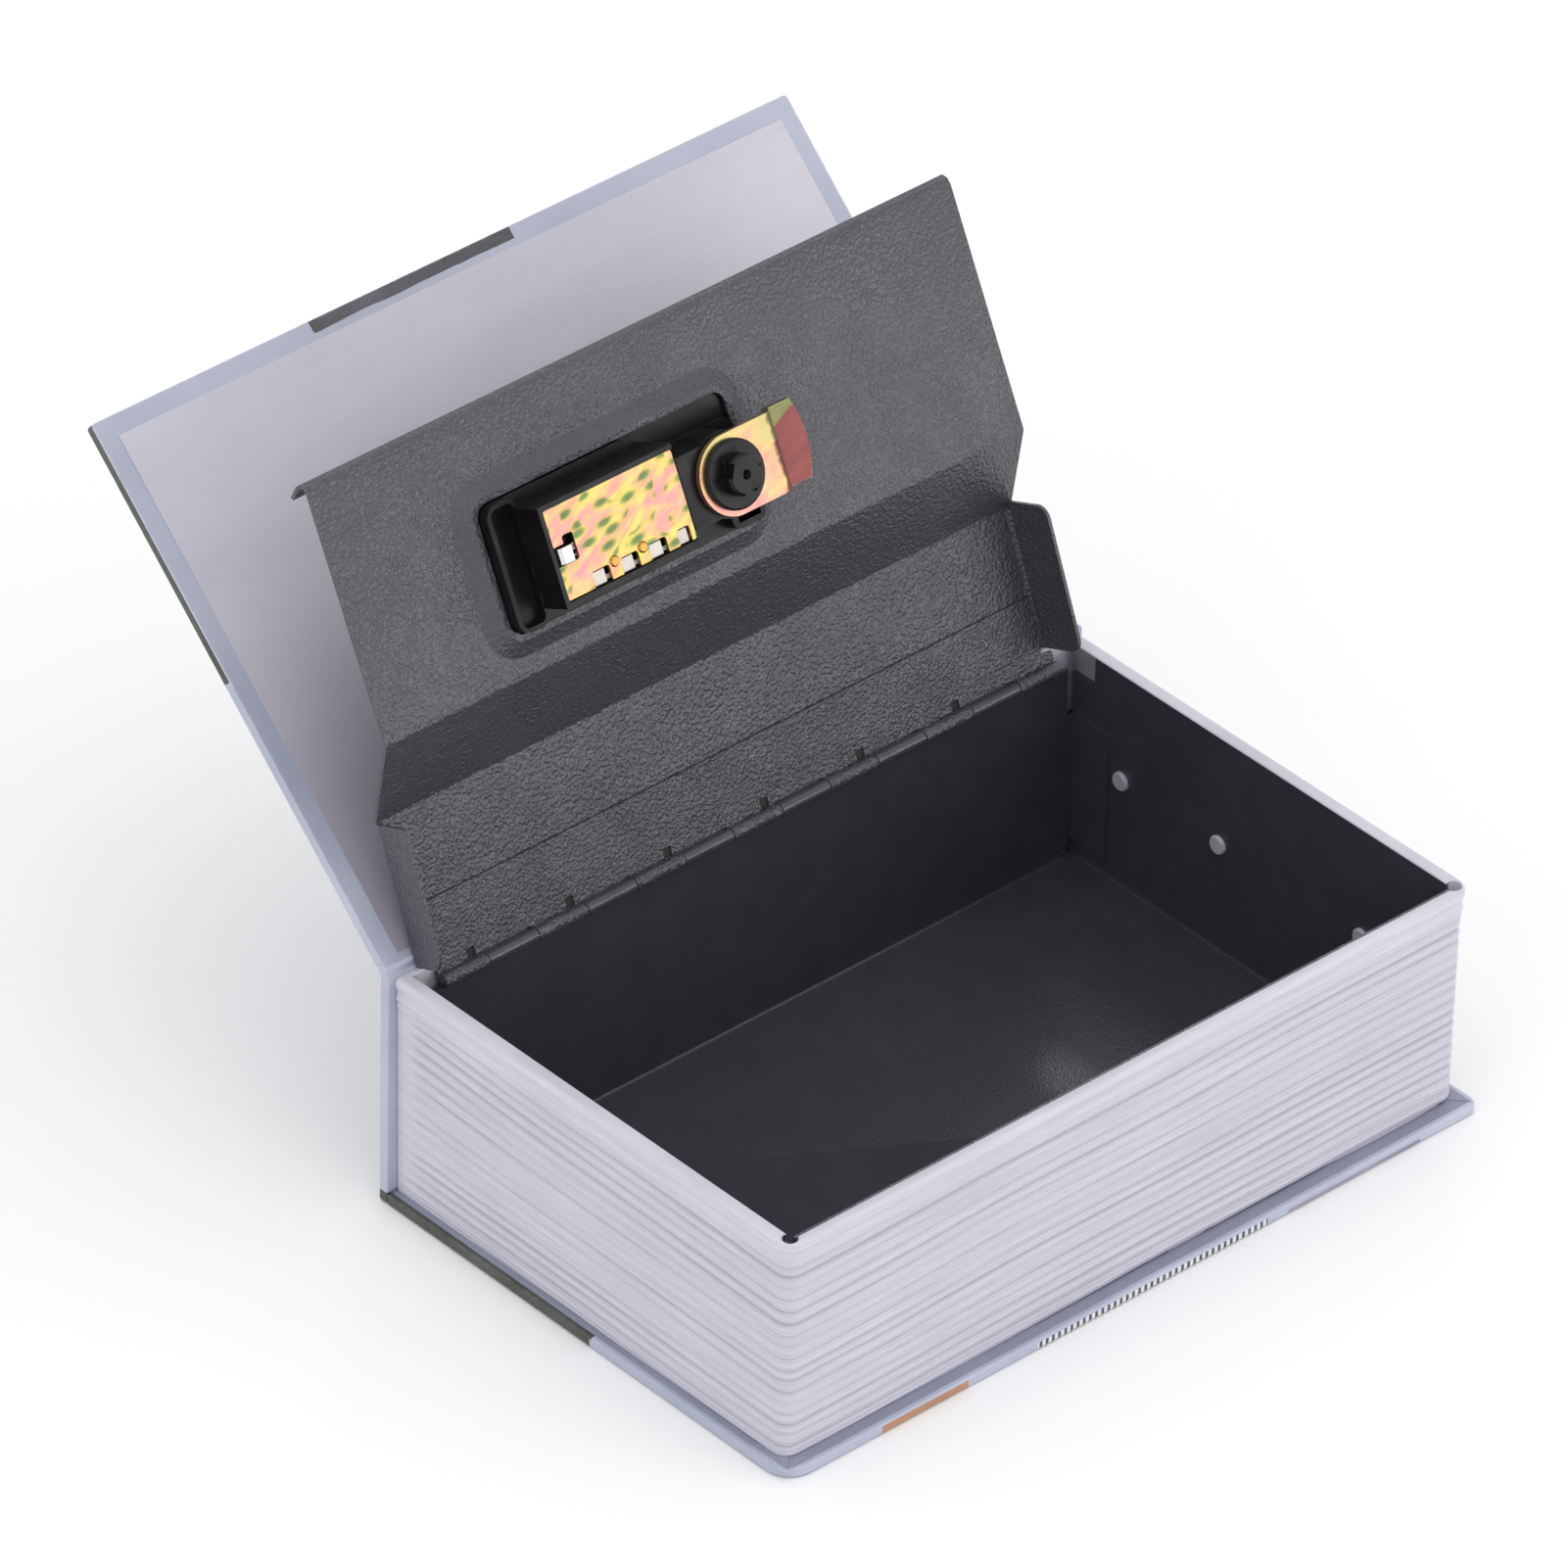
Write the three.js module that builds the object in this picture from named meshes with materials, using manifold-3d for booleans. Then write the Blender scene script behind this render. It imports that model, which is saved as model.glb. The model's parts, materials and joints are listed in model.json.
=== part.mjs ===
// A book diversion safe: a wrapped book case, a moulded page shell, a folded steel cash box, and a stepped steel
// lid with a combination lock. Millimetres. X runs along the hinge, Y from the opening side to the spine, Z up.
// The origin is the centre of the back cover's underside. The lid and the cover are modelled open.

import * as THREE from "three";
import { mergeVertices } from "three/addons/utils/BufferGeometryUtils.js";
import Module from "manifold-3d";

const wasm = await Module();
wasm.setup();

// Driving sizes of the book case
const bookLength = 180;
const bookWidth = 117.2;
const boardThickness = 2.4;
const leftBoardCorner = 6;
const rightBoardCorner = 1.6;
const coverCorner = 0.8;
const rimHeight = 53.2;
const coverSeat = 0.4;
const coverOpen = 136.9;
const coverRightInset = 2.7;
const creaseRightInset = 4.2;
const creaseRadius = 1.1;
const creaseInset = 0.8;
const creaseGap = 0.3;
const coverReach = 117.6;
const endpaperThickness = 0.2;
const endpaperMargin = 4;
const endpaperGap = 0.05;

// Driving sizes of the page shell
const shellEndOverhang = 2.5;
const shellFrontOverhang = 3.6;
const shellWall = 1.5;
const shellCorner = 3.2;
const shellRearCorner = 0.5;
const shellInnerCorner = 1.2;
const shellRibPitch = 2.95;
const shellRibDepth = 0.4;
const shellRibFoot = 1.6;
const shellPlainBand = 8.5;
const shellDraft = 0.4;
const rimProud = 0.6;
const rimNeckDrop = 3.2;
const rimNeckProud = 0.1;
const rimRollDrop = 5;
const rimRollProud = 0.35;
const cornerPocket = 1.2;
const cornerPocketDepth = 2.4;

// Driving sizes of the steel box
const steel = 0.7;
const boxFit = 0.1;
const boxBend = 1;
const boxTopBelowRim = 0.5;
const seamGap = 0.3;
const seamNotch = 1.4;
const rearSlotWidth = 2.6;
const rearSlotDepth = 16.2;
const rearTabLength = 10.7;
const hingeNotchLength = 6;
const hingeNotchDepth = 6.4;
const hingeNotchCorner = 1.2;
const sideWallTail = 0.5;
const cornerRelief = 3.4;

// Driving sizes of the knuckle hinge
const hingeLength = 159.6;
const hingeBelowRim = 2.8;
const knuckleRadius = 1.4;
const leafThickness = 0.6;
const pinClearance = 0.1;
const knuckleCount = 13;
const knucklePitch = 12.5;
const knuckleGap = 0.25;
const leafWidth = 15.8;
const leafFit = 0.1;
const leafNotch = 2.1;
const leafNotchInset = 1.2;
const leafNotchDepth = 0.35;

// Driving sizes of the lid, measured from the hinge axis with the lid closed
const lidWidth = 163.4;
const lidShift = -2.4;
const lidOpen = 112.2;
const lidSheet = 0.8;
const lidHeel = 4.6;
const lidLowerLength = 30;
const stepRun = 16.8;
const stepDrop = 10;
const panelSlope = 4.29;
const panelLength = 54.2;
const lipAngle = 128;
const lipLength = 6.8;
const lipBend = 1.6;
const lidBend = 1;
const leftFlangeDepth = 9.4;
const rightFlangeDepth = 12.4;
const flangeCorner = 3;
const flangeForeCorner = 1.5;
const rightFlangeForeCorner = 2.8;
const rightFlangeReach = 1.5;
const flangeBend = 1.2;

// Driving sizes of the lock, on the lid's inner face, with the spindle as the zero point
const spindleFromBend = 21.4;
const spindleFromCentre = 1.9;
const openingLeft = 52.6;
const openingRight = 10.1;
const openingLow = 13.1;
const openingHigh = 13.6;
const openingCorner = 3;
const plateauRise = 2.2;
const plateauLand = 1.2;
const plateauSlope = 3.6;
const lockGap = 0.3;
const bezelLap = 0.8;
const bezelProud = 1.8;
const housingTop = 12;
const housingWall = 1.2;
const plateLength = 32.4;
const plateWidth = 18.1;
const plateRight = 11.9;
const plateTop = 9.7;
const plateSheet = 0.8;
const plateHeight = 11.5;
const dialCount = 4;
const dialPitch = 7.15;
const dialRadius = 7;
const dialThickness = 5;
const dialAxleHeight = 3.4;
const dialBore = 4.3;
const sleeveFlange = 0.5;
const axleRadius = 1.5;
const notchWidth = 4.4;
const notchDepth = 3.2;
const notchShift = 3.55;
const springWidth = 3.2;
const springSheet = 0.4;
const springTip = 4.9;
const springTipRun = 1;
const springTipDrop = 0.75;
const leverTravel = 1.2;
const leverSheet = 0.7;
const spindleRadius = 3;
const spindleEndRadius = 2.4;
const camHalfWidth = 8.1;
const camReach = 20.8;
const camSheet = 1.2;
const camJoggleStart = 11.8;
const camJoggleRun = 1.6;
const camJoggle = 2.5;
const camHeight = 11;
const nutFlangeRadius = 7;
const nutFlange = 1;
const nutHubRadius = 4.2;
const nutHub = 3.1;
const knobRadius = 9;
const knobHeight = 6.5;
const knobSkirt = 1.5;
const knobBar = 5;
const knobRecess = 0.8;

// Driving sizes of the strike and the rivets
const strikeSheet = 1;
const strikeWidth = 18;
const strikeReach = 13.9;
const strikeBelowHinge = 12.5;
const strikeLeg = 13;
const strikeRivetSpread = 5;
const strikeRivetDrop = 8.5;
const rivetHeadRadius = 2.1;
const rivetHead = 0.9;
const rivetShankRadius = 1.3;
const rivetHoleRadius = 1.5;
const rivetBelowRim = 25.2;
const shellRivetPlaces = [38.7, 10.8, -29.6];

// Places worked out from the driving sizes
const endX = bookLength / 2;
const foreY = -bookWidth / 2;
const spineOuterY = bookWidth / 2;
const spineInnerY = spineOuterY - boardThickness;
const shellForeY = foreY + shellFrontOverhang;
const shellEndX = endX - shellEndOverhang;
const boxOuterX = shellEndX - shellWall - boxFit;
const boxInnerX = boxOuterX - steel;
const boxForeOuterY = shellForeY + shellWall + boxFit;
const boxForeInnerY = boxForeOuterY + steel;
const boxTopZ = rimHeight - boxTopBelowRim;
const rearSlotFootZ = rimHeight - rearSlotDepth;
const rivetHeight = rimHeight - rivetBelowRim;
const hingeAxisHeight = rimHeight - hingeBelowRim;
const strikeHeight = hingeAxisHeight - strikeBelowHinge;
const coverRightX = endX - coverRightInset;
const creaseRightX = endX - creaseRightInset;
const shellRearInnerY = spineInnerY - shellWall;
const hingeAxisY = shellRearInnerY - 1.1 - knuckleRadius;
const rearLeafOuterY = hingeAxisY + knuckleRadius;
const rearLeafInnerY = rearLeafOuterY - leafThickness;
const rearWallOuterY = rearLeafInnerY - leafFit;
const rearWallInnerY = rearWallOuterY - steel;
const rearWallTopZ = hingeAxisHeight - knuckleRadius - seamGap;
const coverAxisY = spineOuterY - creaseInset;
const coverAxisZ = rimHeight + coverSeat + boardThickness / 2;
const panelRise = THREE.MathUtils.degToRad(panelSlope);
const lidInnerW = knuckleRadius + leafFit;
const lidMiddleW = lidInnerW + lidSheet / 2;
const dishOuterFace = plateauRise - lidSheet;
const bezelFace = -lidSheet - bezelProud;
const dialMiddle = -plateRight - plateLength / 2;
const axleHeight = dialAxleHeight;

// Solid helpers
function solid(geometry) {
  const plain = geometry.clone();
  for (const name of Object.keys(plain.attributes)) {
    if (name !== "position") plain.deleteAttribute(name);
  }
  const merged = mergeVertices(plain, 1e-5);
  const index = merged.index.array;
  const corners = [];
  for (let i = 0; i < index.length; i += 3) {
    const [a, b, c] = [index[i], index[i + 1], index[i + 2]];
    if (a !== b && b !== c && c !== a) corners.push(a, b, c);
  }
  const mesh = new wasm.Mesh({
    numProp: 3,
    vertProperties: new Float32Array(merged.attributes.position.array),
    triVerts: new Uint32Array(corners),
  });
  return new wasm.Manifold(mesh);
}

function geometryOf(manifold) {
  const mesh = manifold.getMesh();
  const geometry = new THREE.BufferGeometry();
  geometry.setAttribute("position", new THREE.BufferAttribute(mesh.vertProperties, 3));
  geometry.setIndex(new THREE.BufferAttribute(mesh.triVerts, 1));
  return geometry;
}

function joined(first, ...others) {
  return geometryOf(others.reduce((sum, next) => sum.add(solid(next)), solid(first)));
}

function cut(body, ...tools) {
  return geometryOf(tools.reduce((rest, tool) => rest.subtract(solid(tool)), solid(body)));
}

function common(first, second) {
  return geometryOf(solid(first).intersect(solid(second)));
}

function box(x0, x1, y0, y1, z0, z1) {
  const geometry = new THREE.BoxGeometry(x1 - x0, y1 - y0, z1 - z0);
  return geometry.translate((x0 + x1) / 2, (y0 + y1) / 2, (z0 + z1) / 2);
}

function roundedRectangle(x0, x1, y0, y1, radius) {
  const shape = new THREE.Shape();
  shape.moveTo(x0 + radius, y0);
  shape.lineTo(x1 - radius, y0);
  shape.absarc(x1 - radius, y0 + radius, radius, -Math.PI / 2, 0);
  shape.lineTo(x1, y1 - radius);
  shape.absarc(x1 - radius, y1 - radius, radius, 0, Math.PI / 2);
  shape.lineTo(x0 + radius, y1);
  shape.absarc(x0 + radius, y1 - radius, radius, Math.PI / 2, Math.PI);
  shape.lineTo(x0, y0 + radius);
  shape.absarc(x0 + radius, y0 + radius, radius, Math.PI, Math.PI * 1.5);
  return shape;
}

function extrudeUp(shape, z0, z1, curveSegments = 4) {
  const geometry = new THREE.ExtrudeGeometry(shape, {
    depth: z1 - z0,
    bevelEnabled: false,
    curveSegments,
  });
  return geometry.translate(0, 0, z0);
}

// The shape's two axes become Y and Z, and it is drawn out along X.
function extrudeAlongX(shape, x0, x1, curveSegments = 4) {
  const geometry = extrudeUp(shape, x0, x1, curveSegments);
  const turn = new THREE.Matrix4().makeBasis(
    new THREE.Vector3(0, 1, 0),
    new THREE.Vector3(0, 0, 1),
    new THREE.Vector3(1, 0, 0),
  );
  return geometry.applyMatrix4(turn);
}

// The shape's two axes become X and Z, and it is drawn out along Y.
function extrudeAlongY(shape, y0, y1, curveSegments = 4) {
  const geometry = extrudeUp(shape, -y1, -y0, curveSegments);
  const turn = new THREE.Matrix4().makeBasis(
    new THREE.Vector3(1, 0, 0),
    new THREE.Vector3(0, 0, 1),
    new THREE.Vector3(0, -1, 0),
  );
  return geometry.applyMatrix4(turn);
}

function rod(axis, radius, from, to, sides = 16) {
  const geometry = new THREE.CylinderGeometry(radius, radius, to - from, sides);
  geometry.translate(0, (from + to) / 2, 0);
  if (axis === "x") geometry.rotateZ(-Math.PI / 2);
  if (axis === "z") geometry.rotateX(Math.PI / 2);
  return geometry;
}

// A turned piece on the Z axis, from [radius, height] pairs that run upwards from the axis and back to it.
function turned(profile, sides = 20) {
  const points = profile.map(([radius, height]) => new THREE.Vector2(radius, height));
  return new THREE.LatheGeometry(points, sides).rotateX(Math.PI / 2);
}

// The outline of a bent sheet: its middle line with rounded bends, offset by half the sheet to both sides. A third
// number of a point is its own bend radius.
function bentSheet(points, thickness, usualRadius, steps = 3) {
  const line = points.map(([a, b]) => new THREE.Vector2(a, b));
  const samples = [];
  line.forEach((point, i) => {
    const before = line[i - 1];
    const after = line[i + 1];
    const into = (before ? point.clone().sub(before) : after.clone().sub(point)).normalize();
    if (!before || !after) {
      samples.push({ point, along: into });
      return;
    }
    const bendRadius = points[i][2] ?? usualRadius;
    const out = after.clone().sub(point).normalize();
    const turn = Math.atan2(into.cross(out), into.dot(out));
    const side = Math.sign(turn);
    const start = point.clone().addScaledVector(into, -bendRadius * Math.tan(Math.abs(turn) / 2));
    const centre = start.clone().add(leftOf(into).multiplyScalar(bendRadius * side));
    for (let k = 0; k <= steps; k += 1) {
      const along = into.clone().rotateAround(new THREE.Vector2(), (turn * k) / steps);
      const place = centre.clone().sub(leftOf(along).multiplyScalar(bendRadius * side));
      samples.push({ point: place, along });
    }
  });
  const sideLine = (half) =>
    samples.map(({ point, along }) => point.clone().add(leftOf(along).multiplyScalar(half)));
  return new THREE.Shape([...sideLine(thickness / 2), ...sideLine(-thickness / 2).reverse()]);
}

function leftOf(direction) {
  return new THREE.Vector2(-direction.y, direction.x);
}

// A closed section of [offset, height, corner radius, rear corner radius, rear offset] points swept round a
// rectangle. The section runs upwards on its outer side, a positive offset is outside the rectangle, and the rear
// side, at y1, is like the others where its own numbers aren't given.
function sweepRoundRectangle(x0, x1, y0, y1, section, cornerSteps = 5) {
  const vertices = [];
  for (const [offset, height, foreRadius, rearRadius = foreRadius, rearOffset = offset] of section) {
    const fore = foreRadius - offset;
    const rear = rearRadius - offset;
    const rearY = y1 - rearRadius + rearOffset;
    const centres = [
      [x1 - fore, y0 + fore, -Math.PI / 2, foreRadius],
      [x1 - rear, rearY, 0, rearRadius],
      [x0 + rear, rearY, Math.PI / 2, rearRadius],
      [x0 + fore, y0 + fore, Math.PI, foreRadius],
    ];
    for (const [x, y, start, radius] of centres) {
      for (let k = 0; k <= cornerSteps; k += 1) {
        const angle = start + ((Math.PI / 2) * k) / cornerSteps;
        vertices.push(x + radius * Math.cos(angle), y + radius * Math.sin(angle), height);
      }
    }
  }
  const around = 4 * (cornerSteps + 1);
  const faces = [];
  section.forEach((_, i) => {
    const low = i * around;
    const high = ((i + 1) % section.length) * around;
    for (let k = 0; k < around; k += 1) {
      const next = (k + 1) % around;
      faces.push(low + k, low + next, high + next, low + k, high + next, high + k);
    }
  });
  const geometry = new THREE.BufferGeometry();
  geometry.setAttribute("position", new THREE.Float32BufferAttribute(vertices, 3));
  geometry.setIndex(faces);
  return geometry;
}

// Finishes
const finishes = {
  coverPaper: new THREE.MeshStandardMaterial({ color: 0xa6abbd, roughness: 0.55, metalness: 0 }),
  endpaper: new THREE.MeshStandardMaterial({ color: 0xc3c0cb, roughness: 0.8, metalness: 0 }),
  pagePlastic: new THREE.MeshStandardMaterial({ color: 0xd6d4de, roughness: 0.55, metalness: 0 }),
  boxPaint: new THREE.MeshStandardMaterial({ color: 0x33363b, roughness: 0.5, metalness: 0.1 }),
  lidPaint: new THREE.MeshStandardMaterial({ color: 0x55565b, roughness: 0.35, metalness: 0.1 }),
  hingeSteel: new THREE.MeshStandardMaterial({ color: 0x484a50, roughness: 0.4, metalness: 0.3 }),
  rivetPlastic: new THREE.MeshStandardMaterial({ color: 0x9a9aa4, roughness: 0.6, metalness: 0 }),
  lockPlastic: new THREE.MeshStandardMaterial({ color: 0x141416, roughness: 0.5, metalness: 0 }),
  zincYellow: new THREE.MeshStandardMaterial({ color: 0xe0b878, roughness: 0.3, metalness: 0.9 }),
  brightSteel: new THREE.MeshStandardMaterial({ color: 0xc8c8cc, roughness: 0.25, metalness: 1 }),
  springSteel: new THREE.MeshStandardMaterial({ color: 0xd9d2c4, roughness: 0.4, metalness: 0.4 }),
  brass: new THREE.MeshStandardMaterial({ color: 0xc89a50, roughness: 0.3, metalness: 1 }),
};

function piece(name, geometry, finish) {
  const mesh = new THREE.Mesh(geometry, finishes[finish]);
  mesh.name = name;
  return mesh;
}

// Book case
function makeBackCover() {
  const shape = new THREE.Shape();
  shape.moveTo(-endX, spineInnerY);
  shape.lineTo(-endX, foreY + leftBoardCorner);
  shape.absarc(-endX + leftBoardCorner, foreY + leftBoardCorner, leftBoardCorner, Math.PI, Math.PI * 1.5);
  shape.lineTo(endX - rightBoardCorner, foreY);
  shape.absarc(endX - rightBoardCorner, foreY + rightBoardCorner, rightBoardCorner, -Math.PI / 2, 0);
  shape.lineTo(endX, spineInnerY);
  return piece("back_cover", extrudeUp(shape, 0, boardThickness, 6), "coverPaper");
}

function makeSpine() {
  const top = coverAxisZ - creaseRadius - creaseGap + 0.1;
  return piece("spine", box(-endX, endX, spineInnerY, spineOuterY, 0, top), "coverPaper");
}

function makeFrontCover() {
  const edge = -creaseRadius - creaseGap;
  const shape = new THREE.Shape();
  shape.moveTo(-endX, edge);
  shape.lineTo(-endX, -coverReach + coverCorner);
  shape.absarc(-endX + coverCorner, -coverReach + coverCorner, coverCorner, Math.PI, Math.PI * 1.5);
  shape.lineTo(coverRightX - coverCorner, -coverReach);
  shape.absarc(coverRightX - coverCorner, -coverReach + coverCorner, coverCorner, -Math.PI / 2, 0);
  shape.lineTo(coverRightX, edge);
  const half = boardThickness / 2;
  return piece("front_cover", extrudeUp(shape, -half, half, 6), "coverPaper");
}

function makeCoverCrease() {
  return piece("cover_crease", rod("x", creaseRadius, -endX, creaseRightX, 16), "coverPaper");
}

function makeFrontEndpaper() {
  const left = -endX + endpaperMargin;
  const right = coverRightX - endpaperMargin;
  const top = -boardThickness / 2 - endpaperGap;
  const fore = -coverReach + endpaperMargin;
  const rear = spineInnerY - coverAxisY - creaseGap;
  return piece("front_endpaper", box(left, right, fore, rear, top - endpaperThickness, top), "endpaper");
}

// Moulded shell with the look of page edges: ribs, a wavy band and a proud rounded rim. It widens a little upwards,
// and its rear side stays flat against the spine.
function makePageShell() {
  const draft = (height) => (shellDraft * (height - boardThickness)) / (rimHeight - boardThickness);
  const outer = [[-shellRibDepth, boardThickness]];
  const ribTop = rimHeight - shellPlainBand;
  const ribs = Math.floor((ribTop - boardThickness - shellRibFoot) / shellRibPitch);
  for (let i = 0; i < ribs; i += 1) {
    const foot = boardThickness + shellRibFoot + i * shellRibPitch;
    outer.push([0, foot]);
    outer.push([0, foot + shellRibPitch * 0.55]);
    outer.push([-shellRibDepth, foot + shellRibPitch * 0.8]);
  }
  outer.push([0, ribTop]);
  outer.push([rimRollProud, rimHeight - rimRollDrop]);
  outer.push([rimNeckProud, rimHeight - rimNeckDrop]);
  const drafted = outer.map(([offset, height]) => [offset + draft(height), height]);
  const rimOuter = rimProud + shellDraft;
  const rimRadius = (rimOuter + shellWall) / 2;
  const rim = [0, 36, 72, 108, 144, 180].map((degrees) => {
    const angle = THREE.MathUtils.degToRad(degrees);
    const height = rimHeight + rimRadius * (Math.sin(angle) - 1);
    return [rimOuter - rimRadius + rimRadius * Math.cos(angle), height];
  });
  const section = [...drafted, ...rim, [-shellWall, boardThickness]].map(([offset, height]) => {
    const depth = Math.max(0, -offset / shellWall);
    const corner = shellCorner + (shellInnerCorner - shellCorner) * depth + Math.max(0, offset);
    return [offset, height, corner, shellRearCorner, Math.min(offset, 0)];
  });
  const shell = sweepRoundRectangle(-shellEndX, shellEndX, shellForeY, spineInnerY, section);
  const pockets = [-1, 1].map((side) =>
    rod("z", cornerPocket, rimHeight - cornerPocketDepth, rimHeight + 1, 16)
      .translate(side * (boxOuterX + boxFit), boxForeOuterY - boxFit, 0));
  return piece("page_shell", cut(shell, ...pockets), "pagePlastic");
}

// Folded steel box
function makeSteelBox() {
  const wallX = boxInnerX + steel / 2;
  const floorZ = boardThickness + steel / 2;
  const foreMiddle = boxForeInnerY - steel / 2;
  const rearMiddle = rearWallInnerY + steel / 2;
  const sides = extrudeAlongY(
    bentSheet([[-wallX, boxTopZ], [-wallX, floorZ], [wallX, floorZ], [wallX, boxTopZ]], steel, boxBend),
    boxForeInnerY + seamGap,
    rearWallOuterY + sideWallTail,
  );
  const ends = extrudeAlongX(
    bentSheet([[foreMiddle, boxTopZ], [foreMiddle, floorZ], [rearMiddle, floorZ], [rearMiddle, rearWallTopZ]],
      steel, boxBend),
    -boxInnerX + seamGap,
    boxInnerX - seamGap,
  );
  const tools = [];
  for (const side of [-1, 1]) {
    const span = (a, b) => (side > 0 ? [a, b] : [-b, -a]);
    const [slot0, slot1] = span(boxInnerX - rearSlotWidth, boxInnerX);
    tools.push(box(slot0, slot1, rearWallInnerY - 1, rearWallOuterY + 1, rearSlotFootZ, boxTopZ + 1));
    const [wall0, wall1] = span(boxInnerX - 0.2, boxOuterX + 1);
    const notchStart = rearWallOuterY + sideWallTail - hingeNotchLength;
    const notch = roundedRectangle(notchStart, rearWallOuterY + 3, boxTopZ - hingeNotchDepth, boxTopZ + 3,
      hingeNotchCorner);
    tools.push(extrudeAlongX(notch, wall0, wall1));
    const [seam0, seam1] = span(boxInnerX - seamNotch + steel, boxOuterX + 1);
    const seamY = boxForeInnerY + seamNotch;
    tools.push(box(seam0, seam1, boxForeOuterY - 1, seamY, boxTopZ - seamNotch, boxTopZ + 1));
    const reliefFoot = boardThickness + steel;
    tools.push(box(slot0, slot1, rearWallInnerY - 1, rearWallOuterY + 1, reliefFoot, reliefFoot + cornerRelief));
    for (const y of shellRivetPlaces) {
      const hole = rod("x", rivetHoleRadius, wall0, wall1, 10);
      tools.push(hole.translate(0, y, rivetHeight));
    }
    const strikeHole = rod("y", rivetHoleRadius, boxForeOuterY - 0.5, boxForeInnerY + 0.5, 10);
    const holeX = spindleFromCentre + side * strikeRivetSpread;
    tools.push(strikeHole.translate(holeX, 0, strikeHeight - strikeRivetDrop));
  }
  tools.push(box(-boxInnerX + boxBend, boxInnerX - boxBend, rearWallOuterY, rearWallOuterY + 2, 0,
    boardThickness + steel + 1));
  const tabs = [-1, 1].map((side) => {
    const x = [side * (boxInnerX - steel), side * (boxInnerX + 0.1)].sort((a, b) => a - b);
    const foot = boardThickness + steel + cornerRelief + 0.6;
    return box(x[0], x[1], rearWallOuterY - rearTabLength, rearWallOuterY, foot, rearSlotFootZ);
  });
  return piece("steel_box", cut(joined(sides, ends, ...tabs), ...tools), "boxPaint");
}

// A flat-headed rivet on the Z axis: the head's top is at +head, its shank points down.
function rivetGeometry(headRadius, head, shankRadius, shankLength, sides = 14) {
  return turned(
    [
      [0, -shankLength],
      [shankRadius, -shankLength],
      [shankRadius, 0],
      [headRadius, 0],
      [headRadius, head * 0.6],
      [headRadius * 0.86, head],
      [0, head],
    ],
    sides,
  );
}

function makeShellRivets() {
  const rivets = [];
  for (const [word, side] of [["left", -1], ["right", 1]]) {
    shellRivetPlaces.forEach((y, i) => {
      const rivet = piece(
        `shell_rivet_${word}_${i + 1}`,
        rivetGeometry(rivetHeadRadius, rivetHead, rivetShankRadius, steel),
        "rivetPlastic",
      );
      rivet.position.set(side * (boxInnerX - 0.05), y, rivetHeight);
      rivet.rotation.y = (-side * Math.PI) / 2;
      rivets.push(rivet);
    });
  }
  return rivets;
}

function makeStrike() {
  const wallY = boxForeInnerY + strikeSheet / 2 + 0.05;
  const topZ = strikeHeight - strikeSheet / 2;
  const profile = bentSheet(
    [[wallY, strikeHeight - strikeLeg], [wallY, topZ], [boxForeInnerY + strikeReach, topZ]],
    strikeSheet,
    1.2,
  );
  const half = strikeWidth / 2;
  const holes = [-1, 1].map((side) =>
    rod("y", rivetHoleRadius, boxForeInnerY - 1, boxForeInnerY + strikeSheet + 1, 10)
      .translate(side * strikeRivetSpread, 0, strikeHeight - strikeRivetDrop));
  const plate = piece("strike_plate", cut(extrudeAlongX(profile, -half, half), ...holes), "zincYellow");
  plate.position.x = spindleFromCentre;
  const rivets = [-1, 1].map((side, i) => {
    const rivet = piece(
      `strike_rivet_${i + 1}`,
      rivetGeometry(rivetHeadRadius, rivetHead, rivetShankRadius, strikeSheet + steel),
      "brightSteel",
    );
    const y = boxForeInnerY + strikeSheet + 0.1;
    rivet.position.set(spindleFromCentre + side * strikeRivetSpread, y, strikeHeight - strikeRivetDrop);
    rivet.rotation.x = -Math.PI / 2;
    return rivet;
  });
  return [plate, ...rivets];
}

// Knuckle hinge. A leaf lies in its own flat frame: the knuckles' axis is X, the leaf runs along -Y and its outer
// face is tangent to the top of the knuckles.
function knuckleSpans() {
  const end = (hingeLength - (knuckleCount - 2) * knucklePitch) / 2;
  const marks = [-hingeLength / 2];
  for (let i = 0; i < knuckleCount; i += 1) {
    const length = i === 0 || i === knuckleCount - 1 ? end : knucklePitch;
    marks.push(marks[i] + length);
  }
  return marks.slice(1).map((mark, i) => [marks[i] + knuckleGap / 2, mark - knuckleGap / 2]);
}

function makeHingeLeaf(first, notched, rightEnd) {
  const spans = knuckleSpans();
  const half = hingeLength / 2;
  const bore = knuckleRadius - leafThickness;
  let leaf = solid(box(-half, half, -leafWidth, 0, bore, knuckleRadius));
  spans.forEach(([x0, x1], i) => {
    if (i % 2 === first) {
      leaf = leaf.add(solid(rod("x", knuckleRadius, x0, x1, 20)));
    } else {
      const clear = knuckleRadius + knuckleGap;
      leaf = leaf.subtract(solid(box(x0 - knuckleGap, x1 + knuckleGap, -clear, clear, -clear, clear)));
    }
  });
  leaf = leaf.subtract(solid(rod("x", bore, -half - 1, half + 1, 16)));
  leaf = leaf.subtract(solid(box(rightEnd, half + 1, -leafWidth - 1, -lidHeel + 1, 0, 2 * knuckleRadius)));
  if (notched) {
    spans.forEach(([, x1], i) => {
      if (i % 2 !== first || i === knuckleCount - 1) return;
      const right = x1 - leafNotchInset;
      const foot = knuckleRadius - leafThickness + leafNotchDepth;
      const notch = box(right - leafNotch, right, -knuckleRadius - leafNotch, -knuckleRadius, -1, foot);
      leaf = leaf.subtract(solid(notch));
    });
  }
  return geometryOf(leaf);
}

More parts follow.
